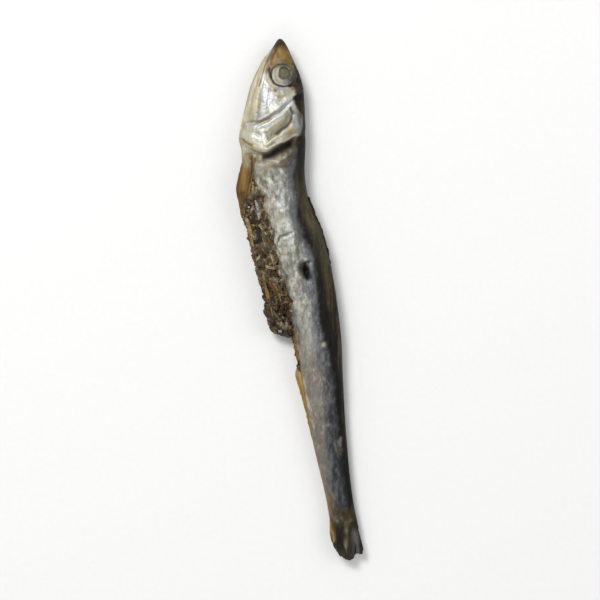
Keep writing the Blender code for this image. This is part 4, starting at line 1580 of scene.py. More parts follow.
    def _relief(self, places: Array, turn: Array) -> Array:
        """Height of the relief above the bare form at every place."""
        across, run = self.warp(places)
        lift = self._head_relief(across, run)
        for mark, flank in self.marks(turn):
            if mark.lift:
                lift += mark.lift * mark.share(across, run) * flank
        share = power(np.cos(turn), SPACING)
        body = over(run, 22, 4)
        gritty = body * below(run, 52, 18)
        back = over(across - Curve(self.features.black_line).at(run), 0, 0.6) * body
        lift -= body * 0.3 * hill(share, 0.1, 0.22)
        # Depth, what the places are multiplied by, width and octaves of each roughness.
        for depth, squeeze, size, octaves in (
            (body * 0.16, (1, 0.5, 1), 2.4, 2),
            (0.03 + 0.05 * body, (1, 0.16, 1), 0.75, 2),
            (0.02 + 0.08 * gritty, (1, 0.6, 1), 0.62, 2),
            (0.02, (1, 1, 1.6), 0.28, 1),
            (0.07 * hill(run, 36, 12) * ease(0.3 - share), (0.5, 1.6, 1), 1, 2),
            (0.1 * back, (1, 0.12, 1), 0.85, 2),
        ):
            lift += depth * self.noise.at(places * squeeze, size, octaves)
        half_thick = self.form.sections.at(run).thick / 2
        return lift * np.abs(np.sin(turn)) ** 0.6 * np.minimum(1, half_thick / 2)

    def build(self) -> None:
        """Wraps, roughens, colours and finishes the skin."""
        run, turn = self._grid()
        bare = self.form.at(run, turn)
        places = bare + self._outward(bare) * self._relief(bare, turn)[..., None]
        front, rear = self.form.torn
        edge = below(np.cos(turn), -0.55, 0.35) * ((run > front + 0.8) & (run < rear - 1.5))
        places[..., 0] += 0.34 * edge * self.noise.at(bare * (0, 1, 0.3), 1.3, 3)
        rise = np.sin(turn)
        ragged = 1.1 * self.noise.at(bare * (1, 0.2, 1), 1.2, 2)
        sunk = 0.46 * over(run, self.wrist + 2.6 * rise**2 + ragged, 2.4) * np.abs(rise)
        places[..., 2] -= sunk * np.sign(rise)
        places[..., 2] = np.maximum(places[..., 2], 0)
        close(places, (0, -1))
        make_piece("anchovy_skin", places, SkinCoat(self, bare, turn).paints(), self.finish)


@dataclass
class Eye:
    """A dried eye, sunk in its socket: a low ball with rings and a clouded lens.

    Attributes:
        side: the flank that it is on.
        finish: its material.
        place: across and run of its middle.
        radius: its radius.
        lens: offset of the lens from the middle, across and along.
        sunk: how far its middle lies below the skin.
        profile: (share of the radius, height) points from the lens to the rim.
        rings: rings of vertices from the lens to the rim.
        spokes: vertices round each ring.
        form: the trunk that carries it.
        noise: what roughens it.
    """

    side: Side
    finish: EyeFinish
    place: Pair = (-2.85, 6.4)
    radius: float = 2.12
    lens: Pair = (0.26, -0.5)
    sunk: float = 0.16
    profile: Line = points(
        0, 0.24, 0.22, 0.22, 0.38, 0.15, 0.47, 0.06, 0.53, 0.05, 0.64, 0.1, 0.78, 0.08, 0.88, 0.02,
        0.95, -0.18, 1, -0.7,
    )
    rings: int = 64
    spokes: int = 96
    form: TrunkForm = TrunkForm()
    noise: Noise = Noise(8)

    def build(self) -> None:
        """Spins the profile into rings, seats them and colours them."""
        share, turn = lattice((0, 1, self.rings), (0, FULL_TURN, self.spokes))
        inner = 1 - share
        da = self.radius * share * np.cos(turn) + self.lens[0] * inner
        dr = self.radius * share * np.sin(turn) + self.lens[1] * inner
        across, run = self.place[0] + da, self.place[1] + dr
        skin = self._seat(across, run)
        lift = Curve(self.profile).at(share)
        flat = stack(across, run, 0)
        lift = lift + 0.05 * self.noise.at(flat, 0.8, 3) + 0.02 * self.noise.at(flat, 0.3, 2)
        places = stack(across, run, skin + self.side * lift)
        close(places)
        paints = {"tint": self._tint(share, turn, flat)}
        make_piece(f"eye_{self.side.word}", places, paints, self.finish)

    def _seat(self, across: Array, run: Array) -> Array:
        """Height of the tilted plane that the eye is seated on."""
        a, r = self.place
        reach = 1.2
        ends = np.array([[a - reach, a + reach, a, a], [r, r, r - reach, r + reach]])
        height = self.form.top(ends[0], ends[1], self.side)
        slope_a = (height[1] - height[0]) / (2 * reach)
        slope_r = (height[3] - height[2]) / (2 * reach)
        middle = height.mean() - self.side * self.sunk
        tip = self.side * (0.1 * (run - r) - 0.04 * (across - a))
        return middle + slope_a * (across - a) + slope_r * (run - r) + tip

    def _tint(self, share: Array, turn: Array, flat: Array) -> Array:
        """Colours of the clouded lens, the broken rings round it and the iris, with painted light
        on the left and painted shade to the right.
        """
        cloud = self.noise.at(flat, 0.9, 3)
        fine = self.noise.at(flat + (5, 0, 0), 0.45, 2)
        left, low = -np.cos(turn), np.sin(turn)
        near = share + 0.05 * cloud + 0.03 * fine
        coat = Coat(plain(GREY, share.shape))
        # Lighter on the left and darker to the right and top right: painted light and shade on the
        # sunk eye, over its own greys and olives.
        coat.lay(BEIGE, 0.6 * ease(0.4 + 0.8 * left + 0.3 * low + 0.3 * cloud))
        coat.lay(BLUE_GREY, 0.9 * ease(0.2 - left + 0.3 * low + 0.4 * cloud))
        coat.lay(SLATE, 0.8 * ease((-left - 0.2 + 0.3 * cloud) / 0.6) * share)
        upper_right_shade = ease((0.45 - low - 0.9 * left + 0.3 * cloud) / 0.8)
        coat.layer(upper_right_shade, (OLIVE, 0.75), (DARK_OLIVE, 0.35, share, 0.3, 0.3))
        right = ease((-left - 0.3 - 0.3 * low + 0.25 * cloud) / 0.5) * over(near, 0.6, 0.25)
        coat.lay(DARK_OLIVE, 0.75 * right)
        coat.lay(OLIVE, 0.5 * hill(near, 0.93, 0.14) * ease(0.6 + left))
        coat.lay(HONEY, 0.3 * hill(near, 0.8, 0.1) * ease(0.2 - low))
        for ring, wide, tone, cover, lit in (
            (0.58, 0.06, CREAM, 0.6, left + 0.3), (0.7, 0.04, GREY, 0.5, 0.4 + left),
            (0.84, 0.05, CREAM, 0.5, left + low), (0.92, 0.045, OLIVE, 0.7, low),
            (1, 0.09, DARK_OLIVE, 0.9, 0.7 + 0.8 * left + 0.6 * low),
        ):
            coat.lay(tone, cover * ease(lit + 0.5 * cloud) * hill(near, ring, wide))
        lens = below(near, 0.47, 0.08)
        coat.layer(lens, (OLIVE, 0.95), (DARK_OLIVE, 0.7, cloud, -0.25, 0.4))
        coat.lay(GREY, 0.4 * lens * hill(share, 0.3, 0.06) * ease(left))
        rim = ease(0.75 + 0.5 * left - 0.5 * low)
        coat.lay(DARK_OLIVE, (0.3 + 0.55 * rim) * hill(near, 0.41, 0.085))
        return coat.tint


@dataclass
class BellyMass:
    """The dried gut and roe that show in the split belly.

    Attributes:
        sections: cross-sections of the lump.
        crag: depth of its broad crags.
        lump: width of its lumps.
        hollow: across and run of the hollow in it, painted black as shade.
        pits: share of its lumps that are rimmed pits instead.
        tones: colours that its lumps may have.
        rows: rows along it.
        cap_rows: rows over its rear end.
        columns: columns round it.
        noise: what roughens it.
        finish: its material.
    """

    sections: Sections = Sections((
        (22.6, -9.2, -6.5, 3.2, 2.8),
        (25, -9.9, -5.5, 4.2, 2.7),
        (29.3, -9.9, -4.6, 4.8, 2.6),
        (34, -8.85, -3.4, 4.9, 2.55),
        (38.3, -7.75, -2.2, 4.7, 2.45),
        (43.7, -6.3, -0.8, 4.5, 2.4),
        (48.4, -5.35, 0.2, 4.2, 2.25),
        (49.9, -4.7, 0.6, 3.4, 2.1),
        (50.9, -2.5, 0.8, 2.4, 2),
    ))
    crag: float = 0.5
    lump: float = 0.86
    hollow: Pair = (-3.7, 39.9)
    pits: float = 0.3
    tones: tuple[Tone, ...] = (
        BROWN, UMBER, BROWN, OLIVE, GREY, BROWN, OLIVE, GOLD, PALE, BROWN, OLIVE,
    )
    rows: int = 330
    cap_rows: int = 20
    columns: int = 180
    noise: Noise = Noise(21)
    finish: RoeFinish = RoeFinish("dried_gut", crumb=0.4, speck=0.12)

    def at(self, run: Array, turn: Array) -> Array:
        """Places on the craggy lump, as x, y and z in millimetres."""
        cut = self.sections.at(run)
        cos, sin = np.cos(turn), np.sin(turn)
        across = (cut.belly + cut.back) / 2 + (cut.back - cut.belly) / 2 * cos
        spot = stack(across, run, 2.5 * sin)
        crag = self.crag * self.noise.at(spot, 1.9, 2)
        hollow = 1.5 * bump(inside(across, run, self.hollow, (1.45, 1.05), 15))
        height = cut.height + cut.thick / 2 * power(sin, 0.75) + crag
        height -= hollow * np.maximum(sin, 0)
        return stack(across + 0.6 * crag * cos, run, height)

    def build(self) -> None:
        """Wraps, crumbles, colours and finishes the lump."""
        run, turn = lattice((*self.sections.ends, self.rows), (0, FULL_TURN, self.columns))
        places = self.at(run, turn)
        middle = places.mean(axis=1, keepdims=True)
        shrink = np.linspace(1, 0, self.cap_rows)[1:, None, None]
        cap = middle[-1] + (places[-1] - middle[-1]) * shrink
        places = np.concatenate((places, cap))
        middle = np.concatenate((middle, np.repeat(middle[-1:], self.cap_rows - 1, axis=0)))
        run = SNOUT_Y - places[..., 1]
        swirl = places + 0.45 * np.stack([
            self.noise.at(places + 40 * k, 1.3, 2) for k in range(3)], axis=-1)
        gap, number = self.noise.lumps(swirl * (1, 0.8, 1), self.lump)
        dome = np.sqrt(np.maximum(0, 1 - np.square(gap / 0.7)))
        pit = (number < self.pits) * bump(gap / 0.4)
        rim = (number < self.pits) * hill(gap, 0.46, 0.13)
        lump = np.where(number < self.pits, 0.12 * rim - 0.4 * pit, 0.42 * dome * (0.4 + number))
        lump += 0.13 * self.noise.at(places, 0.45, 2) - 0.14
        out = unit(places - middle)
        out[-len(cap):] *= shrink
        out[-len(cap):, :, 1] -= 1 - shrink[..., 0]
        shaped = places + out * (lump * over(run, self.sections.ends[0], 0.8))[..., None]
        shaped[..., 2] = np.maximum(shaped[..., 2], 0.15)
        close(shaped, (0, -1))
        paints = {"tint": self._tint(places, run, lump + rim * 0.3 - pit * 0.2, number)}
        make_piece("belly_gut", shaped, paints, self.finish)

    def top(self, across: Array, run: Array) -> Array:
        """Height of the lump's upper side at places seen from above."""
        cut = self.sections.at(run)
        share = np.clip(2 * (across - cut.belly) / (cut.back - cut.belly) - 1, -0.98, 0.98)
        return self.at(run, np.arccos(share))[..., 2]

    def _tint(self, places: Array, run: Array, raised: Array, number: Array) -> Array:
        """Lumps and rims of many dull browns, with painted shade darkening the gaps, pits and
        hollow.
        """
        cloud = self.noise.at(places, 2.2, 3)
        flecks = self.noise.at(places + (9, 0, 0), 0.7, 2)
        palette = np.array([tone.linear() for tone in self.tones])
        last = len(palette) - 1
        coat = Coat(palette[np.minimum((number * len(palette)).astype(int), last)])
        coat.lay(BROWN, 0.3 + 0.4 * over(cloud, -0.1, 0.5))
        coat.lay(BEIGE, 0.2 * over(flecks, 0.15, 0.5) * ease(raised * 3))
        coat.lay(BROWN, 0.5 * over(-flecks, 0.1, 0.4))
        # Painted shade in the low gaps and pits, over the gut's own dark browns.
        coat.lay(UMBER, 0.85 * below(raised, 0.02, 0.2))
        grainy = hill(run, 32.5, 6.5)
        crumb = self.noise.at(places + (0, 7, 0), 0.42, 2)
        coat.layer(
            grainy, (OLIVE, 0.3), (BROWN, 0.35), (BEIGE, 0.55, crumb, 0.25, 0.25),
            (UMBER, 0.6, -crumb, 0.25, 0.2),
        )
        rear = over(run, 39.5, 3)
        coat.lay(UMBER, 0.92 * rear * ease(1 - flecks))
        # Painted shade: black in the low gaps at the rear, over the gut's own dark.
        coat.lay(BLACK, 0.8 * rear * below(raised, 0.06, 0.2))
        coat.layer(rear, (GOLD, 0.4, flecks, 0.3, 0.2), (BEIGE, 0.28, crumb, 0.38, 0.2))
        coat.lay(BEIGE, 0.6 * below(run, 26.9, 1.2) * ease(0.9 + flecks))
        coat.lay(UMBER, 0.7 * hill(run, 27.6, 0.9) * ease(0.9 - flecks))
        across = places[..., 0]
        # Painted shade: the hollow painted black.
        deep = bump(inside(across, run, self.hollow, (1.5, 1.1), 15))
        coat.lay(BLACK, 0.95 * deep)
        lip = hill(run - self.hollow[1], -1.35, 0.3) * hill(across, -4.6, 1.3)
        coat.lay(HONEY, 0.6 * lip)
        return coat.tint


@dataclass
class Roe:
    """Loose grains of dried roe, strewn on the lump and crowded towards its crests.

    Attributes:
        mass: the lump that carries them.
        count: how many grains there are.
        radii: smallest and largest radius.
        turns: where round the lump they lie, in degrees.
        seed: what the places and sizes are drawn from.
        finish: their material.
        tones: colours that a grain may have.
    """

    mass: BellyMass
    count: int = 230
    radii: Pair = (0.15, 0.52)
    turns: Pair = (12, 205)
    seed: int = 5
    finish: RoeFinish = RoeFinish("dried_roe", crumb=0.3, speck=0.2)
    tones: tuple[Tone, ...] = (
        OLIVE, BROWN, GREY, OLIVE, BROWN, BEIGE, UMBER, OLIVE, PALE, GOLD, BROWN,
    )

    def build(self) -> None:
        """Models one grain and copies it over the lump."""
        deselect()
        bpy.ops.mesh.primitive_ico_sphere_add(subdivisions=2, radius=1)
        grain = bpy.context.object
        rng = np.random.default_rng(self.seed)
        low, high = np.radians(self.turns)
        start, end = self.mass.sections.ends
        run = rng.uniform(start + 0.8, end - 0.7, self.count)
        turn = rng.uniform(low, high, self.count)
        middle = self.mass.at(run, turn)
        clear = inside(middle[:, 0], run, self.mass.hollow, (1.2, 0.9)) > 1
        radius = self.radii[0] + np.diff(self.radii)[0] * rng.random(self.count) ** 2.2
        shape = read_places(grain)
        copies, tints = [], []
        for k in np.flatnonzero(clear):
            stretch = rng.uniform(0.5, 1.3, 3) * radius[k]
            dents = 1 + 0.2 * rng.standard_normal(len(shape))
            cos, sin = math.cos(turn[k] * 3), math.sin(turn[k] * 3)
            turned = shape * dents[:, None] * stretch
            x = turned[:, 0] * cos - turned[:, 1] * sin
            y = turned[:, 0] * sin + turned[:, 1] * cos
            inward = (0.55 * math.cos(turn[k]), 0, 0.45 * math.sin(turn[k]))
            seat = middle[k] - radius[k] * np.array(inward)
            copies.append(np.stack((x, y, turned[:, 2]), axis=-1) + seat)
            tone = self.tones[rng.integers(len(self.tones))]
            tints.append(np.tile(tone.linear() * rng.uniform(0.6, 1.15), (len(shape), 1)))
        piece = strewn("belly_roe", grain, copies, tints)
        finish_piece(piece, self.finish)


@dataclass
class Shreds:
    """Dried strips of membrane and gut wall that lie over the lump.

    Attributes:
        mass: the lump that carries them.
        set_strips: (across, run) points, half width and tone of the strips that show most.
        count: how many smaller strips are strewn between them.
        rows: rows along a strip.
        columns: columns across it.
        thickness: thickness of a strip.
        seed: what the smaller strips are drawn from.
        noise: what roughens them.
        finish: their material.
    """

    mass: BellyMass
    set_strips: tuple[tuple[Line, float, Tone], ...] = (
        (((-5.9, 38.8), (-4.7, 39.2), (-3.3, 38.9), (-2.8, 39.3)), 0.34, BEIGE),
        (((-4.7, 40.7), (-3.8, 41.3), (-2.9, 41.1), (-2.5, 40.4)), 0.2, PALE),
        (((-5.4, 39.4), (-5, 41.5), (-4.2, 43.6), (-3.9, 45.6)), 0.26, BROWN),
        (((-4.6, 41.6), (-3.7, 43.2), (-3.2, 45)), 0.18, GOLD),
        (((-6.3, 40.2), (-5.8, 42.4), (-5.2, 45), (-4.6, 47.4)), 0.24, GOLD),
        (((-9.1, 30.6), (-8.6, 33), (-7.9, 36.2)), 0.32, HONEY),
        (((-8.8, 35.4), (-7.9, 38.2), (-7.2, 41)), 0.28, GOLD),
        (((-7.6, 27.6), (-7.1, 29.2), (-6.9, 31)), 0.26, PALE),
        (((-6.4, 32.6), (-5.9, 34.6), (-5, 36.2)), 0.3, OLIVE),
        (((-7.2, 31.8), (-6.9, 33.8), (-6, 35.4)), 0.22, UMBER),
    )
    count: int = 46
    rows: int = 26
    columns: int = 6
    thickness: float = 0.07
    seed: int = 12
    noise: Noise = Noise(52)
    finish: RoeFinish = RoeFinish("dried_membrane", crumb=0.24, speck=0.2)

    def _strips(self) -> list[tuple[Line, float, Tone]]:
        """The set strips and the strewn ones."""
        rng = np.random.default_rng(self.seed)
        tones = (BROWN, OLIVE, OLIVE, BEIGE, UMBER, BROWN)
        strips = list(self.set_strips)
        for _ in range(self.count):
            run, share = rng.uniform(26.5, 47.5), rng.uniform(0.08, 0.92)
            reach, lean = rng.uniform(0.9, 2.6), rng.normal(0.3, 0.6)
            cut = self.mass.sections.at(np.array(run))
            across = float(cut.belly + (cut.back - cut.belly) * share)
            bow = rng.normal(0, 0.3)
            line = tuple((across + lean * t * reach + bow * t * (1 - t), run + reach * t)
                         for t in (0, 0.5, 1))
            strips.append((line, rng.uniform(0.1, 0.24), tones[rng.integers(len(tones))]))
        return strips

    def build(self) -> None:
        """Models one strip and lays copies of it along every line."""
        strip = Blank("strip", self.rows, self.columns)
        along, wide = strip.row / (self.rows - 1), strip.column / (self.columns - 1) * 2 - 1
        copies, tints = [], []
        for line, half, tone in self._strips():
            knots = np.linspace(0, 1, len(line))
            middle, run = (Curve.through(knots, values).at(along) for values in zip(*line))
            lean = np.arctan2(line[-1][0] - line[0][0], line[-1][1] - line[0][1])
            flat = stack(middle, run, 0)
            taper = (4 * along * (1 - along)) ** 0.4 * (1 + 0.5 * self.noise.at(flat, 0.7, 2))
            across = middle + half * taper * wide * math.cos(lean)
            run = run - half * taper * wide * math.sin(lean)
            across = np.maximum(across, self.mass.sections.at(run).belly + 0.35)
            ends = np.array([line[0], line[len(line) // 2], line[-1]])
            bed = Curve.through((0, 0.5, 1), self.mass.top(ends[:, 0], ends[:, 1]))
            height = np.maximum(bed.at(along), self.mass.top(across, run)) + 0.16
            height += 0.12 * self.noise.at(flat, 0.9, 2) + 0.1 * half * (1 - wide**2)
            copies.append(stack(across, run, np.maximum(height, 0.2)))
            shade = 0.85 + 0.3 * self.noise.at(stack(across, run, 3), 0.8, 2)
            tints.append(tone.linear() * shade[:, None])
        piece = strewn("belly_shreds", strip.obj, copies, tints)
        thicken(piece, self.thickness)
        finish_piece(piece, self.finish)


@dataclass
class TornEdge:
    """The dry, ragged lip of skin along the tear on one flank.

    Attributes:
        side: the flank.
        finish: its material.
        mass: the lump that it lies over.
        reach: how wide it is at each run.
        rows: rows along it.
        columns: columns across it.
        thickness: its thickness.
        shine: how bright and smooth it is.
        grit: how rough and flecked it is.
        stain: how rusty it is.
        form: the trunk that it hangs from.
        noise: what makes it ragged.
    """

    side: Side
    finish: SkinFinish
    mass: BellyMass
    reach: Line = points(
        23.6, 0.1, 26, 0.75, 29.5, 1.1, 32.6, 1, 34.2, 0.4, 38, 0.35, 40.4, 0.6, 44, 0.35, 49, 0.4,
        51.5, 0.75, 54, 0.6, 55.8, 0.5, 56.9, 0.1,
    )
    rows: int = 380
    columns: int = 14
    thickness: float = 0.12
    shine: float = 0.15
    grit: float = 0.8
    stain: float = 0.5
    form: TrunkForm = TrunkForm()
    noise: Noise = Noise(33)

    def build(self) -> None:
        """Wraps, thickens, colours and finishes the lip."""
        ends = self.reach[0][0], self.reach[-1][0]
        run, share = lattice((*ends, self.rows), (0, 1, self.columns))
        along = stack(9 * self.side, run, 0)
        ragged = 1 + 0.7 * self.noise.at(along, 1.5, 2) + 0.5 * self.noise.at(along, 0.45, 2)
        wide = Curve(self.reach).at(run) * np.maximum(ragged, 0.1)
        cut = self.form.sections.at(run)
        root = cut.belly + 0.06 * (cut.back - cut.belly)
        across = root + 0.3 - (wide + 0.5) * share
        skin = self.form.top(root + 0.3, run, self.side) - 0.3 * self.side
        curl = 0.4 * self.noise.at(along + (0, 0, 7), 2.3, 2)
        drop = (0.9 + curl) * (wide + 0.3) * share**1.3
        ruffle = 0.22 * share * self.noise.at(stack(across * 0.5, run, 4), 0.9, 2)
        height = skin - self.side * drop + ruffle
        if self.side == Side.UPPER:
            height = np.maximum(height, self.mass.top(across, run) + 0.1 - 0.6 * (1 - share))
        places = stack(across, run, np.maximum(height, 0.1))
        paints = {"tint": self._tint(stack(across, run, height), share)}
        for name, value in (
            ("shine", self.shine), ("grit", self.grit), ("stain", self.stain),
        ):
            paints[name] = np.full(share.shape, value)
        make_piece(f"torn_edge_{self.side.word}", places, paints, self.finish, self.thickness)

    def _tint(self, places: Array, share: Array) -> Array:
        """The skin's own pale grey with brown and cream streaks, and a dark rim."""
        cloud = self.noise.at(places, 1.1, 3)
        streak = self.noise.at(places * (1.6, 0.3, 1), 0.9, 3)
        rear = over(SNOUT_Y - places[..., 1], 48.5, 2)
        coat = Coat(plain(GREY, share.shape))
        coat.lay(CREAM, 0.45 * over(streak, 0.05, 0.3))
        coat.lay(OLIVE, 0.75 * over(-streak, 0.05, 0.3))
        coat.lay(OLIVE, 0.4 * over(share + 0.3 * cloud, 0.3, 0.3))
        coat.lay(BROWN, 0.7 * over(share + 0.5 * cloud, 0.55, 0.3))
        coat.layer(rear, (BROWN, 0.8), (GOLD, 0.6, streak, -0.1, 0.4))
        coat.lay(BLACK, 0.9 * hill(SNOUT_Y - places[..., 1], 55.4, 0.6))
        coat.lay(UMBER, 0.7 * over(share + 0.3 * cloud, 0.85, 0.2))
        return coat.tint


@dataclass
class StripFin:
    """A narrow dried fin that lies along the body, with rays along its length.

    Attributes:
        name: the piece's name.
        sections: its outer and inner edges, thickness and height along the fish.
        side: the flank that it lies on.
        finish: its material.
        drop: how far its outer edge hangs below its inner edge.
        rays: how many rays it has.
        tones: tints of its outer edge, its middle and its root.
        slant: how far the rays lean across it, in widths.
        fray: how ragged its outer edge is.
        rows: rows along it.
        columns: columns across it.
        middle: height of the plane that an under fin mirrors the upper one in.
        clears: the trunk, where the fin lies over its skin.
        ribs: how strongly the rays show.
        marks: spots and lines on it.
        noise: what roughens it.
    """

    name: str
    sections: Sections
    side: Side
    finish: HornFinish
    drop: float
    rays: float
    tones: tuple[Tone, Tone, Tone]
    slant: float = 0.0
    fray: float = 0.12
    rows: int = 150
    columns: int = 44
    middle: float = 3.05
    clears: TrunkForm | None = None
    ribs: float = 0.35
    marks: tuple[Mark, ...] = ()
    noise: Noise = Noise(14)

    def build(self) -> None:
        """Wraps, pleats, thickens, colours and finishes the fin."""
        run, share = lattice((*self.sections.ends, self.rows), (0, 1, self.columns))
        cut = self.sections.at(run)
        flat = stack(share * 3, run, 2 * self.side)
        ray = np.cos(FULL_TURN * self.rays * (share + self.slant * self._along(run)))
        ragged = self.fray * self.noise.at(flat * (0, 1, 1), 0.5, 2) * (1 - share) ** 2
        across = cut.belly + (cut.back - cut.belly) * (share + ragged)
        wave = 0.1 * np.cos(3 * math.pi * share) + 0.06 * self.noise.at(flat, 1.4, 2)
        ray = ray * self.ribs
        height = cut.height - self.drop * (1 - share) + wave + 0.06 * ray
        if self.clears:
            skin = self.clears.top(across, run, Side.UPPER)
            height = np.maximum(height, skin + 0.14 + 0.05 * ray)
        if self.side == Side.UNDER:
            height = np.maximum(2 * self.middle - height, 0.15 + cut.thick / 2)
        paints = {"tint": self._tint(across, run, share, ray)}
        thickness = float(np.mean(cut.thick)) * 0.4
        make_piece(self.name, stack(across, run, height), paints, self.finish, thickness)

    def _along(self, run: Array) -> Array:
        """Place along the fin, from 0 at its front to 1 at its rear."""
        start, end = self.sections.ends
        return (run - start) / (end - start)

    def _tint(self, across: Array, run: Array, share: Array, ray: Array) -> Array:
        """Tints from the outer edge to the root, darker between the rays."""
        outer, mid, root = self.tones
        cloud = self.noise.at(stack(share * 2, run, 1), 1.6, 3)
        coat = Coat(plain(mid, run.shape))
        coat.lay(outer, 0.85 * ease((0.35 + 0.15 * cloud - share) / 0.3))
        coat.lay(root, 0.8 * ease((share - 0.75 + 0.1 * cloud) / 0.25))
        coat.lay(root, 0.4 * below(self._along(run), 0.18, 0.15))
        coat.lay(UMBER, ease(-ray) * 0.6 + 0.25 * over(cloud, 0.35, 0.3))
        for mark in self.marks:
            coat.lay(mark.tone, mark.cover * mark.share(across, run))
        coat.lay(HONEY, 0.4 * ease(ray))
        return coat.tint


@dataclass
class TailFin:
    """The worn tail fin: two lobes of fine rays, with frayed ends.

    Attributes:
        finish: its material.
        root: run, edges across, thickness and height where it leaves the body.
        worn_end: (share across, across, run) points along its worn edge.
        marks: lines and spots of other colours on it.
        rays: how many rays it has.
        tip_thick: thickness at its end.
        curl: how far its end rises.
        twist: how far its lobes bend apart.
        rows: rows along it.
        columns: columns across each face.
        noise: what roughens it.
    """

    finish: HornFinish
    root: Section = Section(77.4, 5, 8.5, 1.7, 1.95)
    worn_end: tuple[tuple[float, float, float], ...] = (
        (0, 5.1, 84.9), (0.08, 5.6, 86.6), (0.22, 6.7, 88.3), (0.5, 8.2, LENGTH),
        (0.66, 9.1, 88.9), (0.76, 9.6, 88.15), (0.92, 10.55, 88.3), (1, 10.86, 87.5),
    )
    marks: tuple[Mark, ...] = marks(
        ((7.9, 83.2, 8, 85, 7.7, 87.4), 0.42, OLIVE, 1, 0, 0, 0, 0.8),
        ((7.9, 83.8, 8.05, 85.2, 7.75, 86.8), 0.24, BEIGE, 0.42, 0, 0, 0, 0.7),
        ((8.6, 83.4, 8.5, 85.6, 8.3, 87), 0.3, BLACK, 0.9),
        ((7, 83.2, 7.1, 85.6, 7.5, 87.6), 0.26, BLACK, 0.9),
        ((9.2, 81.4, 9.5, 84.2), 0.6, BLACK, 0.9),
        ((9.3, 84.6, 9.7, 86.4, 9.9, 88.2), 0.6, GREY, 0.7, 0, 0, 0, 0.6),
        ((10.35, 84.4, 10.7, 87.8), 0.26, BLACK, 0.9),
        ((8.1, 81, 8.5, 82), 0.4, BROWN, 0.7),
        ((6.4, 82.3), (0.45, 0.36), GREY, 0.8),
        ((7.7, 82.8, 8.8, 82.3), 0.28, OLIVE, 0.9),
        ((4.7, 79.5, 4.9, 81.6, 5.3, 84, 5.7, 85.8), 0.36, HONEY, 0.8),
        ((5.5, 80.5, 5.8, 83.6, 6.1, 85), 0.26, BROWN, 0.8),
    )
    rays: int = 19
    tip_thick: float = 0.22
    curl: float = 0.5
    twist: float = 0.3
    rows: int = 170
    columns: int = 150
    noise: Noise = Noise(41)

    def build(self) -> None:
        """Wraps both faces of the fin as one closed tube and finishes it."""
        along, turn = lattice((0, 1, self.rows), (0, FULL_TURN, 2 * self.columns + 1))
        share = 0.5 - 0.5 * np.cos(turn)
        upper = np.sign(np.sin(turn)) * (np.abs(np.sin(turn)) > 1e-6)
        stations, *edges = zip(*self.worn_end)
        tip, end = (Curve.through(stations, values).at(share) for values in edges)
        uneven = share + 0.016 * self.noise.at(stack(share * 10, 0, 3), 1.1, 2)
        ray = np.cos(FULL_TURN * self.rays * uneven)
        frayed = self.noise.at(stack(share * 10, 0, 0), 0.75, 2)
        end = end - over(along, 0.6, 0.4) * (0.14 * (0.5 - 0.5 * ray) + 0.4 * np.abs(frayed))
        base = self.root.belly + (self.root.back - self.root.belly) * share
        across = base + (tip - base) * along
        run = self.root.run + (end - self.root.run) * along
        flat = stack(across, run, upper)
        thin = 0.12 + 0.33 * ease(along * 2)
        edge = thin + (1 - thin) * np.sin(math.pi * share) ** 0.6
        thick = (self.root.thick + (self.tip_thick - self.root.thick) * along**0.8) * edge
        pleat = 0.055 * ray * over(along, 0.3, 0.3)
        fold = 0.16 * np.cos(FULL_TURN * 3.2 * share + 0.6) * ease(along * 2)
        rough = 0.12 * self.noise.at(flat * (1, 0.35, 1), 0.8, 3)
        bend = self.curl * along**2 + self.twist * along * np.sin(4.5 * share)
        height = self.root.height + bend + fold + upper * (thick / 2 + pleat + rough * 0.7)
        places = stack(across, run, np.maximum(height, 0.12))
        tip_heights = places[-1, :, 2]
        places[-1, :, 2] = (tip_heights + tip_heights[::-1]) / 2
        close(places, (0,))
        paints = {"tint": self._tint(flat, share, along, ray)}
        make_piece("tail_fin", places, paints, self.finish)

    def _tint(self, flat: Array, share: Array, along: Array, ray: Array) -> Array:
        """Dark olive rays, a pale middle streak, a grey back lobe and a gold belly edge."""
        across, run = flat[..., 0], SNOUT_Y - flat[..., 1]
        cloud = self.noise.at(flat * (1, 0.4, 1), 1.1, 3)
        fine = self.noise.at(flat * (1, 0.2, 1), 0.5, 2)
        coat = Coat(plain(DARK_OLIVE, share.shape))
        coat.lay(BLACK, 0.85 * over(cloud, -0.15, 0.35))
        coat.lay(OLIVE, 0.5 * over(fine, 0.15, 0.4) * ease(0.3 - cloud))
        coat.lay(UMBER, 0.6 * over(-cloud, 0.1, 0.3))
        for mark in self.marks:
            shown = mark.share(across + 0.2 * cloud, run + 0.3 * fine) * ease(1 + fine)
            coat.lay(mark.tone, mark.cover * shown)
        coat.lay(BLACK, 0.4 * ease(-ray))
        root = ease((0.62 + 0.25 * cloud - along) / 0.3) * below(share, 0.86, 0.2)
        coat.layer(root, (OLIVE, 0.45, fine, -0.3, 0.5), (BROWN, 0.3, -fine, 0.05, 0.3))
        body = ease((0.3 + 0.2 * cloud - along) / 0.2)
        coat.lay(SLATE, 0.5 * body * over(share, 0.3, 0.2))
        return coat.tint


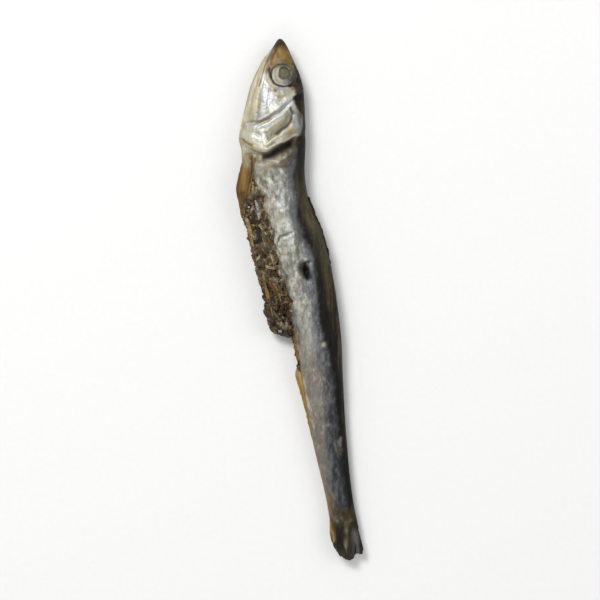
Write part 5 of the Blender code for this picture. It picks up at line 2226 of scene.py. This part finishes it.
@dataclass
class Studio:
    """The pale floor, the soft lights and the camera straight above.

    Attributes:
        height_share: share of the picture's height that the fish fills.
        floor: width of the floor in metres.
        lens: focal length in millimetres.
        sensor: width of the camera's sensor in millimetres.
        lamps: place, size and power of each soft light, in metres and watts.
        sky: strength of the light from all round.
    """

    height_share: float = 0.88
    floor: float = 3.0
    lens: float = 120.0
    sensor: float = 36.0
    lamps: tuple[tuple[tuple[float, float, float], float, float], ...] = (
        ((-0.2, 0.3, 0.5), 0.22, 2.6),
        ((0.4, 0.1, 0.42), 0.35, 0.5),
        ((-0.1, -0.5, 0.45), 0.4, 0.6),
    )
    sky: float = 0.48

    def _floor(self) -> None:
        """Adds the floor and marks it as staging."""
        deselect()
        bpy.ops.mesh.primitive_plane_add(size=self.floor)
        floor = bpy.context.object
        floor.name = floor.data.name = "floor"
        floor.data.materials.append(FloorFinish().material())
        floor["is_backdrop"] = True

    def _lamps(self) -> None:
        """Adds the area lights, each aimed at the fish."""
        for k, (place, size, watts) in enumerate(self.lamps):
            deselect()
            bpy.ops.object.light_add(type="AREA", location=place)
            lamp = bpy.context.object
            lamp.name = f"soft_light_{k}"
            lamp.data.size = size
            lamp.data.energy = watts
            lamp.rotation_euler = (-Vector(place)).to_track_quat("-Z", "Y").to_euler()

    def _sky(self) -> None:
        """Lights the scene evenly from all round."""
        world = bpy.data.worlds.new("soft_sky")
        world.use_nodes = True
        background = world.node_tree.nodes["Background"]
        background.inputs["Color"].default_value = (1.0, 1.0, 1.0, 1.0)
        background.inputs["Strength"].default_value = self.sky
        bpy.context.scene.world = world
        bpy.context.scene.view_settings.view_transform = "Standard"

    def _camera(self) -> None:
        """Adds the camera over the middle of the fish, the snout towards the picture's top."""
        low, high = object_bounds()
        middle = (low + high) / 2
        span = (high.y - low.y) / self.height_share
        away = span * self.lens / self.sensor
        deselect()
        bpy.ops.object.camera_add(location=(middle.x, middle.y, high.z + away))
        camera = bpy.context.object
        camera.name = "top_camera"
        camera.rotation_euler = (0.0, 0.0, 0.0)
        camera.data.lens = self.lens
        camera.data.sensor_width = self.sensor
        camera.data.clip_start = 0.01
        bpy.context.scene.camera = camera

    def build(self) -> None:
        """Sets the whole stage."""
        self._camera()
        self._floor()
        self._lamps()
        self._sky()


def side_fins() -> list[StripFin]:
    """The breast fin of each flank, the folded back fin and the vent fin."""
    breast = (
        (19.6, -9.3, -8.2, 0.6, 5.0),
        (21.2, -9.85, -7.7, 0.5, 5.2),
        (23.5, -10.45, -8.0, 0.45, 5.1),
        (26.0, -10.86, -8.5, 0.42, 4.9),
        (28.0, -10.45, -9.1, 0.4, 4.6),
        (30.6, -9.95, -9.6, 0.4, 4.3),
    )
    inset = 0.35
    under = tuple((run, belly + inset, *rest) for run, belly, *rest in breast)
    back = (
        (27.0, 1.55, 0.3, 0.7, 4.4),
        (29.3, 2.4, 0.6, 0.8, 4.2),
        (33.6, 4.05, 1.9, 0.8, 4.1),
        (36.3, 4.85, 2.9, 0.8, 4.1),
        (39.2, 5.3, 3.9, 0.7, 3.9),
    )
    vent = (
        (55.7, -0.35, 1.2, 0.5, 2.45),
        (57.0, -0.8, 1.4, 0.42, 2.45),
        (59.6, -0.2, 2.2, 0.4, 2.4),
        (62.9, 0.75, 2.9, 0.4, 2.3),
        (68.0, 1.95, 3.6, 0.4, 2.1),
        (70.6, 3.0, 3.9, 0.4, 2.0),
    )
    amber = HornFinish("amber_fin")
    dark = HornFinish("dark_fin", gloss=0.75, glow=0.0)
    spots = marks(
        ((-10.7, 26.7), (0.5, 0.5), UMBER, 0.85),
        ((-9.2, 20.2, -9, 21.6), 0.7, BEIGE, 0.6),
        ((-9.4, 22.6, -9.6, 25.6), 0.45, GOLD, 0.9),
        ((-8.2, 20.4, -8, 22.4, -8.5, 24.6), 0.22, UMBER, 0.8),
    )
    return [
        *(StripFin(f"breast_fin_{side.word}", Sections(rows), side, amber, 1.0, 4.0,
                   (BROWN, BROWN, GOLD), fray=0.02, clears=TrunkForm(), marks=spots)
          for side, rows in ((Side.UPPER, breast), (Side.UNDER, under))),
        StripFin("back_fin", Sections(back), Side.UPPER, dark, 0.9, 3.0,
                 (BLACK, UMBER, BLACK), 0.6, 0.05),
        StripFin("vent_fin", Sections(vent), Side.UPPER, amber, 0.0, 2.0,
                 (GOLD, HONEY, CREAM), 0.5, 0.03,
                 marks=marks(((-0.4, 55.9), (0.5, 0.5), BROWN, 0.9))),
    ]


def main() -> None:
    """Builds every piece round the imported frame."""
    logging.basicConfig(level=logging.INFO, format="%(name)s %(message)s")
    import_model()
    Studio().build()
    Skin().build()
    eye = EyeFinish()
    for side in Side:
        Eye(side, eye).build()
    mass = BellyMass()
    mass.build()
    Roe(mass).build()
    Shreds(mass).build()
    lip = SkinFinish("torn_skin", relief=0.08)
    for side in Side:
        TornEdge(side, lip, mass).build()
    for fin in side_fins():
        fin.build()
    TailFin(HornFinish("dark_tail", gloss=0.5, glow=0.05)).build()


if __name__ == "__main__":
    main()
